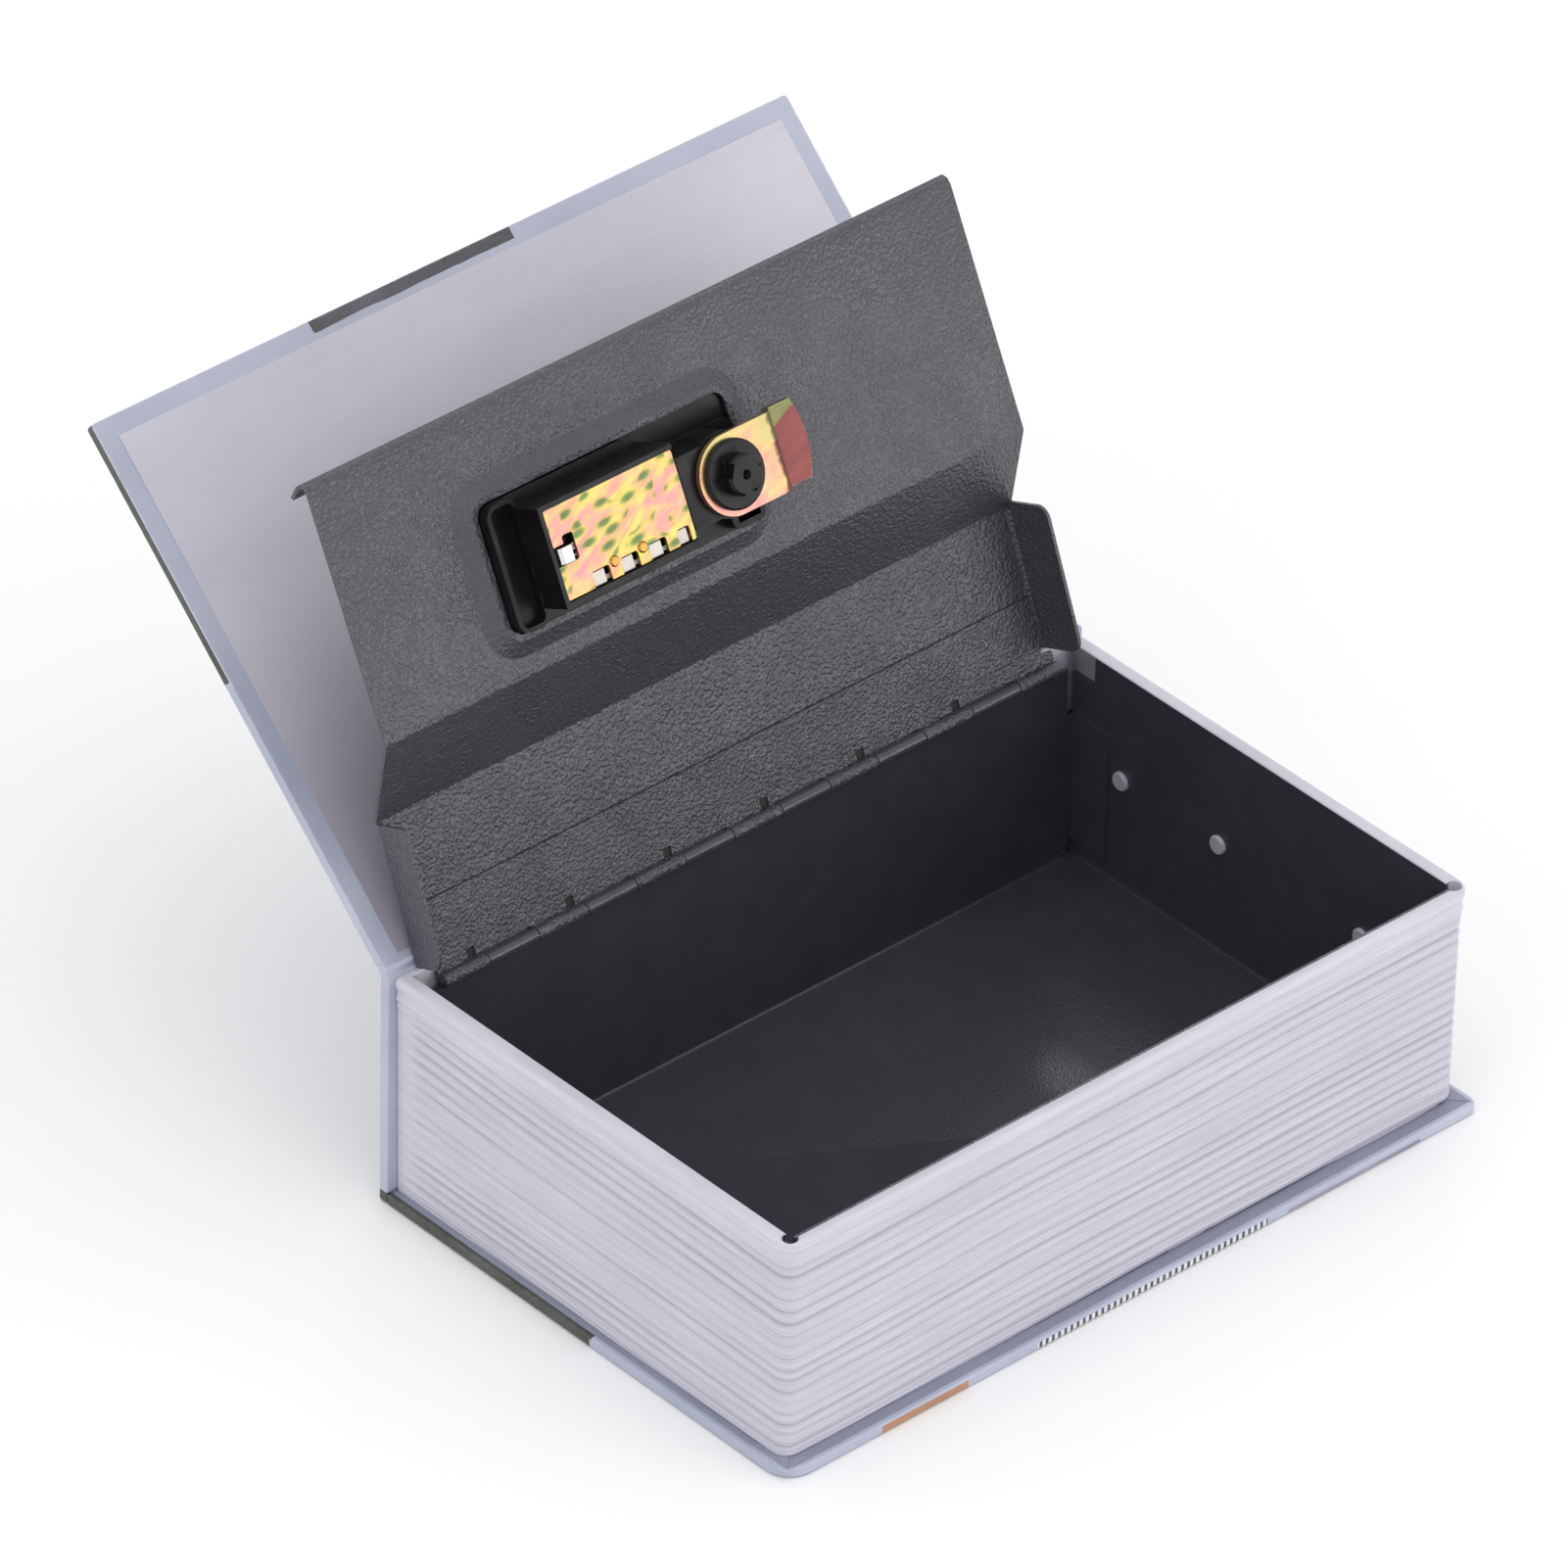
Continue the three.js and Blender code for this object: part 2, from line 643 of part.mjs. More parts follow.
function makeBoxHingeLeaf() {
  const leaf = piece("box_hinge_leaf", makeHingeLeaf(1, false, hingeLength / 2), "hingeSteel");
  leaf.position.set(0, hingeAxisY, hingeAxisHeight);
  leaf.rotation.x = -Math.PI / 2;
  leaf.rotation.z = Math.PI;
  return leaf;
}

function makeHingePin() {
  const radius = knuckleRadius - leafThickness - pinClearance;
  const half = hingeLength / 2;
  const pin = piece("hinge_pin", rod("x", radius, -half, half, 12), "hingeSteel");
  pin.position.set(0, hingeAxisY, hingeAxisHeight);
  return pin;
}

// Lid: all of it is in the closed position here, with the hinge axis as the origin and -Y towards the lip.
function lidLine() {
  const slope = panelRise;
  const heel = [-lidHeel, lidMiddleW];
  const lowerBend = [-lidHeel - lidLowerLength, lidMiddleW];
  const upperBend = [lowerBend[0] - stepRun, lidMiddleW - stepDrop];
  const edge = [upperBend[0] - panelLength * Math.cos(slope), upperBend[1] + panelLength * Math.sin(slope)];
  const lip = Math.PI - slope - THREE.MathUtils.degToRad(lipAngle);
  const lipEnd = [edge[0] + lipLength * Math.cos(lip), edge[1] + lipLength * Math.sin(lip)];
  return { heel, lowerBend, upperBend, edge, lipEnd };
}

function makeLidPanel() {
  const { heel, lowerBend, upperBend, edge, lipEnd } = lidLine();
  const half = lidWidth / 2;
  const path = [heel, lowerBend, upperBend, [...edge, lipBend], lipEnd];
  let lid = solid(extrudeAlongX(bentSheet(path, lidSheet, lidBend), -half, half));
  const flangeFore = lowerBend[0] + 0.6;
  const flangeX = half - lidSheet / 2;
  const inset = 0.03;
  for (const side of [-1, 1]) {
    const foot = lidMiddleW + lidSheet / 2 - (side > 0 ? rightFlangeDepth : leftFlangeDepth);
    const reach = side > 0 ? rightFlangeReach : 0;
    const edgeBox = box(side > 0 ? half - 2 : -half - 1, side > 0 ? half + 1 : -half + 2, flangeFore,
      heel[0] + 1, foot, lidMiddleW + 1);
    lid = lid.subtract(solid(edgeBox));
    const angle = bentSheet(
      [[side * (half - 4), lidMiddleW], [side * flangeX, lidMiddleW], [side * flangeX, foot]],
      lidSheet - 2 * inset,
      flangeBend,
    );
    const flange = extrudeAlongY(angle, flangeFore - reach, heel[0]);
    const foreCorner = side > 0 ? rightFlangeForeCorner : flangeForeCorner;
    const cornered = common(flange, flangeCornerBlock(flangeFore - reach, heel[0], foot, foreCorner));
    const inner = side * (half - lidSheet);
    const web = box(Math.min(inner, side * (half - 5)), Math.max(inner, side * (half - 5)), flangeFore - 3,
      flangeFore, foot - 1, lidMiddleW + 2);
    lid = lid.add(solid(cut(cornered, web)));
  }
  const frame = lockFrame();
  const hole = extrudeUp(
    roundedRectangle(...openingEdges(plateauLand + plateauSlope - 0.05), openingCorner + plateauLand + plateauSlope),
    -lidSheet - 1,
    1,
    5,
  );
  lid = lid.subtract(solid(hole.applyMatrix4(frame)));
  const section = [
    [0, dishOuterFace],
    [plateauLand - 0.2, dishOuterFace],
    [plateauLand + plateauSlope - 0.2, -lidSheet + inset],
    [plateauLand + plateauSlope + 1.2, -lidSheet + inset],
    [plateauLand + plateauSlope + 1.2, -inset],
    [plateauLand + plateauSlope, -inset],
    [plateauLand, plateauRise],
    [0, plateauRise],
  ].map(([offset, height]) => [offset, height, openingCorner + offset]);
  const dish = sweepRoundRectangle(...openingEdges(0), section, 5);
  lid = lid.add(solid(dish.applyMatrix4(frame)));
  return piece("lid_panel", geometryOf(lid), "lidPaint");
}

function flangeCornerBlock(y0, y1, foot, small) {
  const shape = new THREE.Shape();
  const top = lidMiddleW + 2;
  shape.moveTo(y0, top);
  shape.lineTo(y0, foot + small);
  shape.absarc(y0 + small, foot + small, small, Math.PI, Math.PI * 1.5);
  shape.lineTo(y1 - flangeCorner, foot);
  shape.absarc(y1 - flangeCorner, foot + flangeCorner, flangeCorner, -Math.PI / 2, 0);
  shape.lineTo(y1, top);
  return extrudeAlongX(shape, -lidWidth, lidWidth, 4);
}

function openingEdges(grow) {
  return [-openingLeft - grow, openingRight + grow, -openingLow - grow, openingHigh + grow];
}

// The lock's frame on the closed lid: its origin is where the spindle crosses the panel's inner face, X is along
// the hinge, Y points to the lip and Z into the box.
function lockFrame() {
  const { upperBend } = lidLine();
  const y = upperBend[0] - spindleFromBend * Math.cos(panelRise) + (lidSheet / 2) * Math.sin(panelRise) * -1;
  const z = upperBend[1] + spindleFromBend * Math.sin(panelRise) - (lidSheet / 2) * Math.cos(panelRise);
  const turn = new THREE.Matrix4().makeRotationX(Math.PI - panelRise);
  const lidCentreX = spindleFromCentre - lidShift;
  return new THREE.Matrix4().makeTranslation(lidCentreX, y, z).multiply(turn);
}

function makeLidHingeLeaf() {
  const flangeInside = lidShift + lidWidth / 2 - lidSheet;
  const rightEnd = Math.min(hingeLength / 2, flangeInside - flangeBend);
  const leaf = piece("lid_hinge_leaf", makeHingeLeaf(0, true, rightEnd), "hingeSteel");
  leaf.position.x = -lidShift;
  return leaf;
}

// Lock pieces, all in the lock's frame
function dialPlaces() {
  return Array.from({ length: dialCount }, (_, i) => dialMiddle + (i - (dialCount - 1) / 2) * dialPitch);
}

function makeBezel() {
  const edges = openingEdges(bezelLap);
  const back = dishOuterFace - lockGap;
  const rim = 0.7;
  const section = [
    [-rim - 2, bezelFace],
    [-rim, bezelFace],
    [0, bezelFace + rim],
    [0, back],
    [-rim - 2, back],
  ].map(([offset, height]) => [offset, height, openingCorner + bezelLap + offset]);
  const edge = sweepRoundRectangle(...edges, section, 4);
  const core = extrudeUp(roundedRectangle(...openingEdges(bezelLap - rim), openingCorner + bezelLap - rim),
    bezelFace, back, 4);
  const tools = dialPlaces().map((x) => {
    const half = dialThickness / 2 + lockGap;
    return rod("x", dialRadius + 0.4, x - half, x + half, 32).translate(0, 0, axleHeight);
  });
  const ends = [dialPlaces()[0], dialPlaces()[dialCount - 1] + dialThickness / 2 + 1.2];
  tools.push(rod("x", dialBore + sleeveFlange + lockGap, ...ends, 24).translate(0, 0, axleHeight));
  tools.push(rod("z", knobRadius + 0.5, bezelFace - 1, bezelFace + knobRecess, 32));
  tools.push(rod("z", spindleRadius + 0.4, bezelFace - 1, back + 1, 16));
  return piece("lock_bezel", cut(joined(core, edge), ...tools), "lockPlastic");
}

function makeHousing() {
  const low = dishOuterFace;
  const left = -openingLeft + lockGap;
  const right = openingRight - lockGap;
  const bottom = -openingLow + lockGap;
  const top = openingHigh - lockGap;
  const bodyLeft = -plateRight - plateLength - housingWall;
  const bodyRight = -plateRight + 0.6;
  const bodyLow = plateTop - plateWidth - housingWall;
  const bodyHigh = plateTop + housingWall;
  const ledge = plateHeight - plateSheet - 0.1;
  const bossTop = camHeight - lockGap;
  const corner = openingCorner;
  const base = extrudeUp(roundedRectangle(left, right, bottom, 8.6, corner), low, low + 1.6, 5);
  const shelf = extrudeUp(roundedRectangle(left, -plateRight - 2, bottom, top, corner), low, low + 1.6, 5);
  const tray = extrudeUp(roundedRectangle(left, bodyLeft + 1, bottom, top, corner), low, low + 3.4, 5);
  const body = box(bodyLeft, bodyRight, bodyLow, bodyHigh, low, housingTop);
  const boss = rod("z", spindleRadius + 5.6, low, bossTop, 28);
  const bridge = box(bodyRight - 1, 0, -7.4, 7.4, low, bossTop);
  const foot = extrudeUp(roundedRectangle(1, right - 0.6, bottom + 0.4, -3, 2), low, low + 4.6, 4);
  const hollow = box(-plateRight - plateLength, -plateRight - 1.2, -7.7, 7.7, low - 1, housingTop + 1);
  const well = box(-plateRight - plateLength - 0.2, -plateRight + 1, plateTop - plateWidth - 0.2,
    plateTop + 0.2, ledge, housingTop + 1);
  const springSeat = box(-plateRight - plateLength, -plateRight - 0.4, plateTop - plateWidth - 0.1, -6,
    ledge - 1.4, ledge + 1);
  const trayHollow = extrudeUp(
    roundedRectangle(left + 1, bodyLeft - 0.2, bottom + 1, top - 1, 1.4), low + 1.2, low + 5, 3);
  const overCam = box(bodyRight - 0.5, 0, bodyLow - 1, bodyHigh + 1, bossTop, housingTop + 1);
  const bore = rod("z", spindleRadius + 0.3, low - 1, bossTop + 1, 18);
  const axleBore = rod("x", axleRadius + 0.15, -plateRight - plateLength - 0.9, -plateRight - 0.6, 14)
    .translate(0, 0, axleHeight);
  const footHollow = box(2.4, right - 1.8, bottom + 1.6, -9, low + 1.6, low + 6);
  const whole = joined(base, shelf, tray, body, boss, bridge, foot);
  const housing = cut(whole, hollow, well, springSeat, trayHollow, overCam, bore, axleBore, footHollow);
  return piece("lock_housing", housing, "lockPlastic");
}

function makeCoverPlate() {
  const left = -plateRight - plateLength;
  const bottom = plateTop - plateWidth;
  const plate = extrudeUp(roundedRectangle(left, -plateRight, bottom, plateTop, 0.5),
    plateHeight - plateSheet, plateHeight, 2);
  const low = plateHeight - plateSheet - 1;
  const high = plateHeight + 1;
  const notches = dialPlaces().map((x) => {
    const middle = x + notchShift;
    const notch = roundedRectangle(middle - notchWidth / 2, Math.min(middle + notchWidth / 2, -plateRight - 1),
      bottom - 2, bottom + notchDepth, 0.6);
    return extrudeUp(notch, low, high, 2);
  });
  const channel = box(left - 1, left + 4.4, -1.7, 2.3, low, high);
  const well = extrudeUp(roundedRectangle(left + 2.6, left + 5.3, -1.7, 3.9, 0.6), low, high, 2);
  const holes = dialPlaces().slice(1, 3).map((x) =>
    rod("z", 0.95, low, high, 12).translate(x, -5.2, 0));
  return piece("lock_cover_plate", cut(plate, ...notches, channel, well, ...holes), "zincYellow");
}

function makePlateRivets() {
  return dialPlaces().slice(1, 3).map((x, i) => {
    const low = plateHeight - plateSheet - 0.4;
    const profile = [
      [0, low],
      [1.15, low],
      [1.15, low + 0.3],
      [0.75, low + 0.3],
      [0.75, plateHeight + 0.05],
      [1.2, plateHeight + 0.05],
      [0.9, plateHeight + 0.4],
      [0, plateHeight + 0.5],
    ];
    const rivet = piece(`plate_rivet_${i + 1}`, turned(profile, 14), "brass");
    rivet.position.set(x, -5.2, 0);
    return rivet;
  });
}

function makeDetentSpring() {
  const height = plateHeight - plateSheet - 0.3 - springSheet / 2;
  const bottom = plateTop - plateWidth + 0.3;
  const strip = box(-plateRight - plateLength + 0.5, -plateRight - 1, bottom, bottom + 0.9,
    height - springSheet / 2, height + springSheet / 2);
  const bend = -springTip - springTipRun;
  const profile = bentSheet(
    [[bottom + 0.2, height], [bend, height], [-springTip, height - springTipDrop]],
    springSheet,
    0.6,
  );
  const fingers = dialPlaces().map((x) => {
    const start = x + notchShift - notchWidth / 2 + 0.1;
    return extrudeAlongX(profile, start, Math.min(start + springWidth, -plateRight - 1.5));
  });
  return piece("detent_spring", joined(strip, ...fingers), "springSteel");
}

function makeDials() {
  const outline = new THREE.Shape();
  const flats = 10;
  const windowTurn = -90;
  for (let i = 0; i < flats; i += 1) {
    for (const [turn, radius] of [[-11, dialRadius], [0, dialRadius], [11, dialRadius], [18, dialRadius - 0.6]]) {
      const angle = THREE.MathUtils.degToRad(windowTurn + (360 / flats) * i + turn);
      const point = [radius * Math.cos(angle), radius * Math.sin(angle)];
      if (i === 0 && turn === -11) outline.moveTo(...point);
      else outline.lineTo(...point);
    }
  }
  const bore = new THREE.Path();
  bore.absarc(0, 0, dialBore, 0, Math.PI * 2, true);
  outline.holes.push(bore);
  return dialPlaces().map((x, i) => {
    const half = dialThickness / 2;
    const dial = piece(`dial_${i + 1}`, extrudeAlongX(outline, -half, half, 6), "lockPlastic");
    dial.position.set(x, 0, axleHeight);
    return dial;
  });
}

// Coded sleeve: a barrel inside the dial with a flange that has one flat for the release bar.
function makeDialSleeves() {
  const half = dialThickness / 2;
  const barrel = rod("x", dialBore - 0.3, -half, half + 0.3, 20);
  const flange = rod("x", dialBore + sleeveFlange, half + 0.2, half + 0.9, 24);
  const flat = box(half + 0.25, half + 2, -8, 8, -dialBore - 2, -dialBore + 0.1);
  const bore = rod("x", axleRadius + 0.2, -half - 1, half + 2, 16);
  return dialPlaces().map((x, i) => {
    const sleeve = piece(`dial_sleeve_${i + 1}`, cut(joined(barrel, flange), flat, bore), "springSteel");
    sleeve.position.set(x, 0, axleHeight);
    return sleeve;
  });
}

function makeDialAxle() {
  const axle = rod("x", axleRadius, -plateRight - plateLength - 0.7, -plateRight - 0.8, 14);
  return piece("dial_axle", axle.translate(0, 0, axleHeight), "brightSteel");
}

function makeCodeLever() {
  const left = -plateRight - plateLength + 0.4;
  const top = plateHeight + 0.3 + leverSheet / 2;
  const profile = bentSheet(
    [[left + leverSheet / 2, 6.2], [left + leverSheet / 2, top], [left + 3.1, top]],
    leverSheet,
    0.7,
  );
  return piece("code_lever", extrudeAlongY(profile, -1.3, 1.9), "brightSteel");
}

function makeKnob() {
  const face = bezelFace + knobRecess - lockGap;
  const top = bezelFace - knobHeight + knobRecess;
  const skirt = turned(
    [
      [0, -face],
      [knobRadius, -face],
      [knobRadius, -face + knobSkirt - 0.4],
      [knobRadius - 0.4, -face + knobSkirt],
      [0, -face + knobSkirt],
    ],
    32,
  ).rotateX(Math.PI);
  const waist = turned([[0, -face + 1], [6, -face + 1], [5.2, -top], [0, -top]], 28).rotateX(Math.PI);
  const bar = extrudeUp(roundedRectangle(-knobBar / 2, knobBar / 2, -knobRadius + 0.6, knobRadius - 0.6, 2.2),
    top, face - 1, 4);
  const bore = rod("z", spindleRadius + 0.15, top + 1.5, face + 1, 18);
  return piece("knob", cut(joined(skirt, waist, bar), bore), "lockPlastic");
}

function makeSpindle() {
  const top = bezelFace - knobHeight + knobRecess;
  const shoulder = camHeight - 0.3;
  const end = camHeight + camSheet + nutFlange + nutHub - 1.6;
  const profile = [
    [0, top + 1.8],
    [spindleRadius, top + 1.8],
    [spindleRadius, shoulder],
    [spindleEndRadius, shoulder],
    [spindleEndRadius, end - 0.4],
    [spindleEndRadius - 0.4, end],
    [0, end],
  ];
  return piece("spindle", turned(profile, 18), "brightSteel");
}

function makeCam() {
  const middle = camHeight + camSheet / 2;
  const profile = bentSheet(
    [
      [-camHalfWidth - 1, middle],
      [camJoggleStart, middle],
      [camJoggleStart + camJoggleRun, middle - camJoggle],
      [camReach + 1, middle - camJoggle],
    ],
    camSheet,
    1,
  );
  const side = Math.asin(camHalfWidth / camReach);
  const outline = new THREE.Shape();
  outline.absarc(0, 0, camHalfWidth, Math.PI / 2, Math.PI * 1.5);
  outline.lineTo(camReach * Math.cos(side), -camHalfWidth);
  outline.absarc(0, 0, camReach, -side, side);
  outline.lineTo(0, camHalfWidth);
  const blank = extrudeAlongY(profile, -camHalfWidth - 1, camHalfWidth + 1);
  const column = extrudeUp(outline, camHeight - camJoggle - 2, camHeight + camSheet + 1, 14);
  const bore = rod("z", spindleEndRadius + 0.2, camHeight - 1, camHeight + camSheet + 1, 18);
  return piece("cam", cut(common(blank, column), bore), "zincYellow");
}

// Flanged retaining nut with three bayonet gaps round its hub
function makeCamNut() {
  const low = camHeight + camSheet + 0.15;
  const flange = low + nutFlange;
  const top = flange + nutHub;
  const blank = turned(
    [
      [0, low],
      [nutFlangeRadius, low],
      [nutFlangeRadius, flange - 0.3],
      [nutFlangeRadius - 0.4, flange],
      [nutHubRadius, flange],
      [nutHubRadius, top - 0.4],
      [nutHubRadius - 0.5, top],
      [0, top],
    ],
    32,
  );
  const gaps = [30, 150, 270].map((degrees) => {
    const tooth = box(nutHubRadius - 1, nutHubRadius + 1.5, -1.5, 1.5, flange, top + 1);
    return tooth.rotateZ(THREE.MathUtils.degToRad(degrees));
  });
  const bore = rod("z", spindleEndRadius + 0.2, low - 1, top - 1.4, 18);
  const eye = rod("z", 1, low, top + 1, 12);
  return piece("cam_nut", cut(blank, ...gaps, bore, eye), "lockPlastic");
}

// Assembly
const safe = new THREE.Group();
safe.add(makeBackCover(), makeSpine(), makePageShell(), makeSteelBox());
safe.add(...makeShellRivets(), ...makeStrike());
safe.add(makeBoxHingeLeaf(), makeHingePin());

const cover = new THREE.Group();
cover.position.set(0, coverAxisY, coverAxisZ);
cover.rotation.x = THREE.MathUtils.degToRad(-coverOpen);
cover.add(makeFrontCover(), makeCoverCrease(), makeFrontEndpaper());
safe.add(cover);

const lid = new THREE.Group();
lid.position.set(lidShift, hingeAxisY, hingeAxisHeight);
lid.rotation.x = THREE.MathUtils.degToRad(-lidOpen);
lid.add(makeLidPanel(), makeLidHingeLeaf());
safe.add(lid);

const lock = new THREE.Group();
lock.applyMatrix4(lockFrame());
lock.add(makeBezel(), makeHousing(), makeCoverPlate(), ...makePlateRivets(), makeDetentSpring());
lock.add(...makeDials(), ...makeDialSleeves(), makeDialAxle(), makeCodeLever());
lock.add(makeKnob(), makeSpindle(), makeCam(), makeCamNut());
lid.add(lock);

export default safe;
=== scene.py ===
# %% [markdown]
# # A book that hides a cash box
#
# This lesson dresses a finished model of a book diversion safe. The model arrives as a fixed frame: every
# piece already has its size, its place and the body that it moves with. Blender adds what metal, paper
# and plastic look like: softened edges, moulded page ribs, orange-peel paint, zinc plating and soft
# studio light.
#
# Lengths are metres here, and `mm` turns the drawing's millimetres into metres. Every new object is made
# and put in the scene by `linked`.

# %% Load the frame
import json
import math
import bmesh
import bpy
from mathutils import Matrix, Vector

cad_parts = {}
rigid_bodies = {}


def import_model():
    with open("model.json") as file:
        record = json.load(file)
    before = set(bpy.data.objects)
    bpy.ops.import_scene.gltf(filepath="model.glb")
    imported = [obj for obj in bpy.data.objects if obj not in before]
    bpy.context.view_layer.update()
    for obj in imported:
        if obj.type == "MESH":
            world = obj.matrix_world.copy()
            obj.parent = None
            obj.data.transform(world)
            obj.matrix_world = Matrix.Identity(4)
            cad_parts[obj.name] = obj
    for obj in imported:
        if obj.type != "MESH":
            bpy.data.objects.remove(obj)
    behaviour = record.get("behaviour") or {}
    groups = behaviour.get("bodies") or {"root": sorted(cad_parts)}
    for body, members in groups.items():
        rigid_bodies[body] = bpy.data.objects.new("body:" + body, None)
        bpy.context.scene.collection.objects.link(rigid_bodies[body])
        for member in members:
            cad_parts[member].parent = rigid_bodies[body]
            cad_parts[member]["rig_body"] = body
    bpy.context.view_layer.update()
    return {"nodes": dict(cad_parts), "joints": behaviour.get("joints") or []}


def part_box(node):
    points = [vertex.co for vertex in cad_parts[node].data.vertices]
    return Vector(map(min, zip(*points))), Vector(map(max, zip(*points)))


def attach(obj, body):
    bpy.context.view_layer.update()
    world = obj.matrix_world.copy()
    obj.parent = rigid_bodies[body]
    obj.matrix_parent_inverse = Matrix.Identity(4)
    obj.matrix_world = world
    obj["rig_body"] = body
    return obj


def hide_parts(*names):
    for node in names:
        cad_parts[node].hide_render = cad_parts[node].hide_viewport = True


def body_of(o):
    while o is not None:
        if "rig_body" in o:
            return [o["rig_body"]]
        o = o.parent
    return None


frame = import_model()
mm = 0.001


def linked(name, data):
    """A new object in the scene that shows that data."""
    item = bpy.data.objects.new(name, data)
    bpy.context.scene.collection.objects.link(item)
    return item


# %% [markdown]
# ## Places that the lesson needs
#
# A few places are worked out from the frame and not typed twice. The case is the body that stands still,
# so the box of its page shell gives the wall positions. The lock sits on the lid in a frame of its own:
# its origin is where the knob's spindle crosses the lid, one axis runs along the hinge, one towards the
# lid's lip, and one into the box. The knob's joint gives both the origin and that last axis.

# %% Measure the frame
shell_low, shell_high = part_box("page_shell")
joints = {joint["name"]: joint for joint in frame["joints"]}
spindle_place = Vector(joints["knob_turn"]["pos_m"])
into_box = Vector(joints["knob_turn"]["axis"]).normalized()
along_hinge = Vector((1, 0, 0))
to_lip = into_box.cross(along_hinge)
lock_frame = Matrix((along_hinge, to_lip, into_box)).transposed().to_4x4()
lock_frame.translation = spindle_place
print("page shell, mm:", [round(v / mm, 2) for v in shell_high])
print("spindle, mm:", [round(v / mm, 2) for v in spindle_place])

# %% [markdown]
# ## The camera first
#
# The photograph was taken from above the opening side with a long lens. Setting the camera first lets
# every later piece be judged from the place that matters. A camera's matrix is three directions and a
# place: right, up and backwards, so a small roll of the picture is only a turn of the first two. The
# camera's place is measured from the corner of the back cover nearest to it, and its focal length is in
# pixels of the photograph.

# %% Place the camera
azimuth = math.radians(-42.713)
elevation = math.radians(35.681)
tilt_of_picture = math.radians(1.32)
near_corner = Vector((-90.0, -58.6, 0.0)) * mm
sideways, upwards, distance = -0.535 * mm, 131.628 * mm, 2925.587 * mm
photo_width, focal_length = 1601, 15936.9

backwards = Vector((
    math.sin(azimuth) * math.cos(elevation),
    -math.cos(azimuth) * math.cos(elevation),
    math.sin(elevation),
))
level = Vector((0, 0, 1)).cross(backwards).normalized()
upright = backwards.cross(level)
right = level * math.cos(tilt_of_picture) + upright * math.sin(tilt_of_picture)
top = upright * math.cos(tilt_of_picture) - level * math.sin(tilt_of_picture)
viewpoint = near_corner + right * sideways + top * upwards + backwards * distance

lens = bpy.data.cameras.new("camera")
lens.sensor_width = 36
lens.lens = focal_length / photo_width * lens.sensor_width
lens.clip_end = 20
camera = linked("camera", lens)
camera.matrix_world = Matrix((right, top, backwards)).transposed().to_4x4()
camera.matrix_world.translation = viewpoint
bpy.context.scene.camera = camera
print("lens, mm:", round(lens.lens, 1))

# %% [markdown]
# ## A small kit for wiring nodes
#
# Materials in this lesson are wired in code. A few helpers keep that readable: `put` adds a node and
# fills its sockets by name, `wire` joins an output to an input, and `feed` takes either a value or an
# output. An effect that several finishes share becomes a node group, built once with named inputs. A
# group only puts out masks, colours and heights, and each material keeps its own shader.

# %% Helpers for nodes
def put(tree, kind, values=None, **settings):
    node = tree.nodes.new(kind)
    for key, value in settings.items():
        setattr(node, key, value)
    for key, value in (values or {}).items():
        node.inputs[key].default_value = value
    return node


def wire(tree, output, target):
    tree.links.new(output, target)


def feed(tree, value, socket):
    """Sets a socket to a number or a colour, or joins an output to it."""
    if isinstance(value, (int, float, tuple)):
        socket.default_value = value
    else:
        wire(tree, value, socket)


def arithmetic(tree, operation, first, second=0.0, clamp=False):
    node = put(tree, "ShaderNodeMath", operation=operation, use_clamp=clamp)
    feed(tree, first, node.inputs[0])
    feed(tree, second, node.inputs[1])
    return node.outputs[0]


def times(tree, first, second, clamp=False):
    return arithmetic(tree, "MULTIPLY", first, second, clamp)


def plus(tree, first, second, clamp=False):
    return arithmetic(tree, "ADD", first, second, clamp)


def minus(tree, first, second):
    return arithmetic(tree, "SUBTRACT", first, second)


def blend_colour(tree, factor, first, second):
    node = put(tree, "ShaderNodeMix", data_type="RGBA")
    for index, value in ((0, factor), (6, first), (7, second)):
        feed(tree, value, node.inputs[index])
    return node.outputs[2]


def steps(tree, factor, stops, interpolation="LINEAR"):
    node = put(tree, "ShaderNodeValToRGB")
    ramp = node.color_ramp
    ramp.interpolation = interpolation
    while len(ramp.elements) < len(stops):
        ramp.elements.new(0.5)
    for element, (place, value) in zip(ramp.elements, stops):
        element.position = place
        element.color = value if isinstance(value, tuple) else (value, value, value, 1)
    wire(tree, factor, node.inputs[0])
    return node.outputs[0]


def own_place(tree):
    """The piece's own coordinates, which stay with it when it moves."""
    return put(tree, "ShaderNodeTexCoord").outputs["Object"]


def noise(tree, where, scale, detail=2.0, roughness=0.5, **values):
    node = put(tree, "ShaderNodeTexNoise", {"Detail": detail, "Roughness": roughness, **values})
    wire(tree, where, node.inputs["Vector"])
    feed(tree, scale, node.inputs["Scale"])
    return node.outputs["Fac"]


def linear(red, green, blue):
    """A screen colour, 0 to 255, as the linear colour that nodes work with."""
    def channel(value):
        value = value / 255
        return value / 12.92 if value <= 0.04045 else ((value + 0.055) / 1.055) ** 2.4
    return (channel(red), channel(green), channel(blue), 1)


def effect(name, inputs, outputs):
    tree = bpy.data.node_groups.new(name, "ShaderNodeTree")
    for label, kind, value in inputs:
        socket = tree.interface.new_socket(label, in_out="INPUT", socket_type=kind)
        socket.default_value = value
    for label, kind in outputs:
        tree.interface.new_socket(label, in_out="OUTPUT", socket_type=kind)
    given = tree.nodes.new("NodeGroupInput")
    result = tree.nodes.new("NodeGroupOutput")
    return tree, given.outputs, result.inputs


def use(tree, group, **values):
    node = put(tree, "ShaderNodeGroup", node_tree=group)
    for key, value in values.items():
        node.inputs[key.replace("_", " ")].default_value = value
    return node


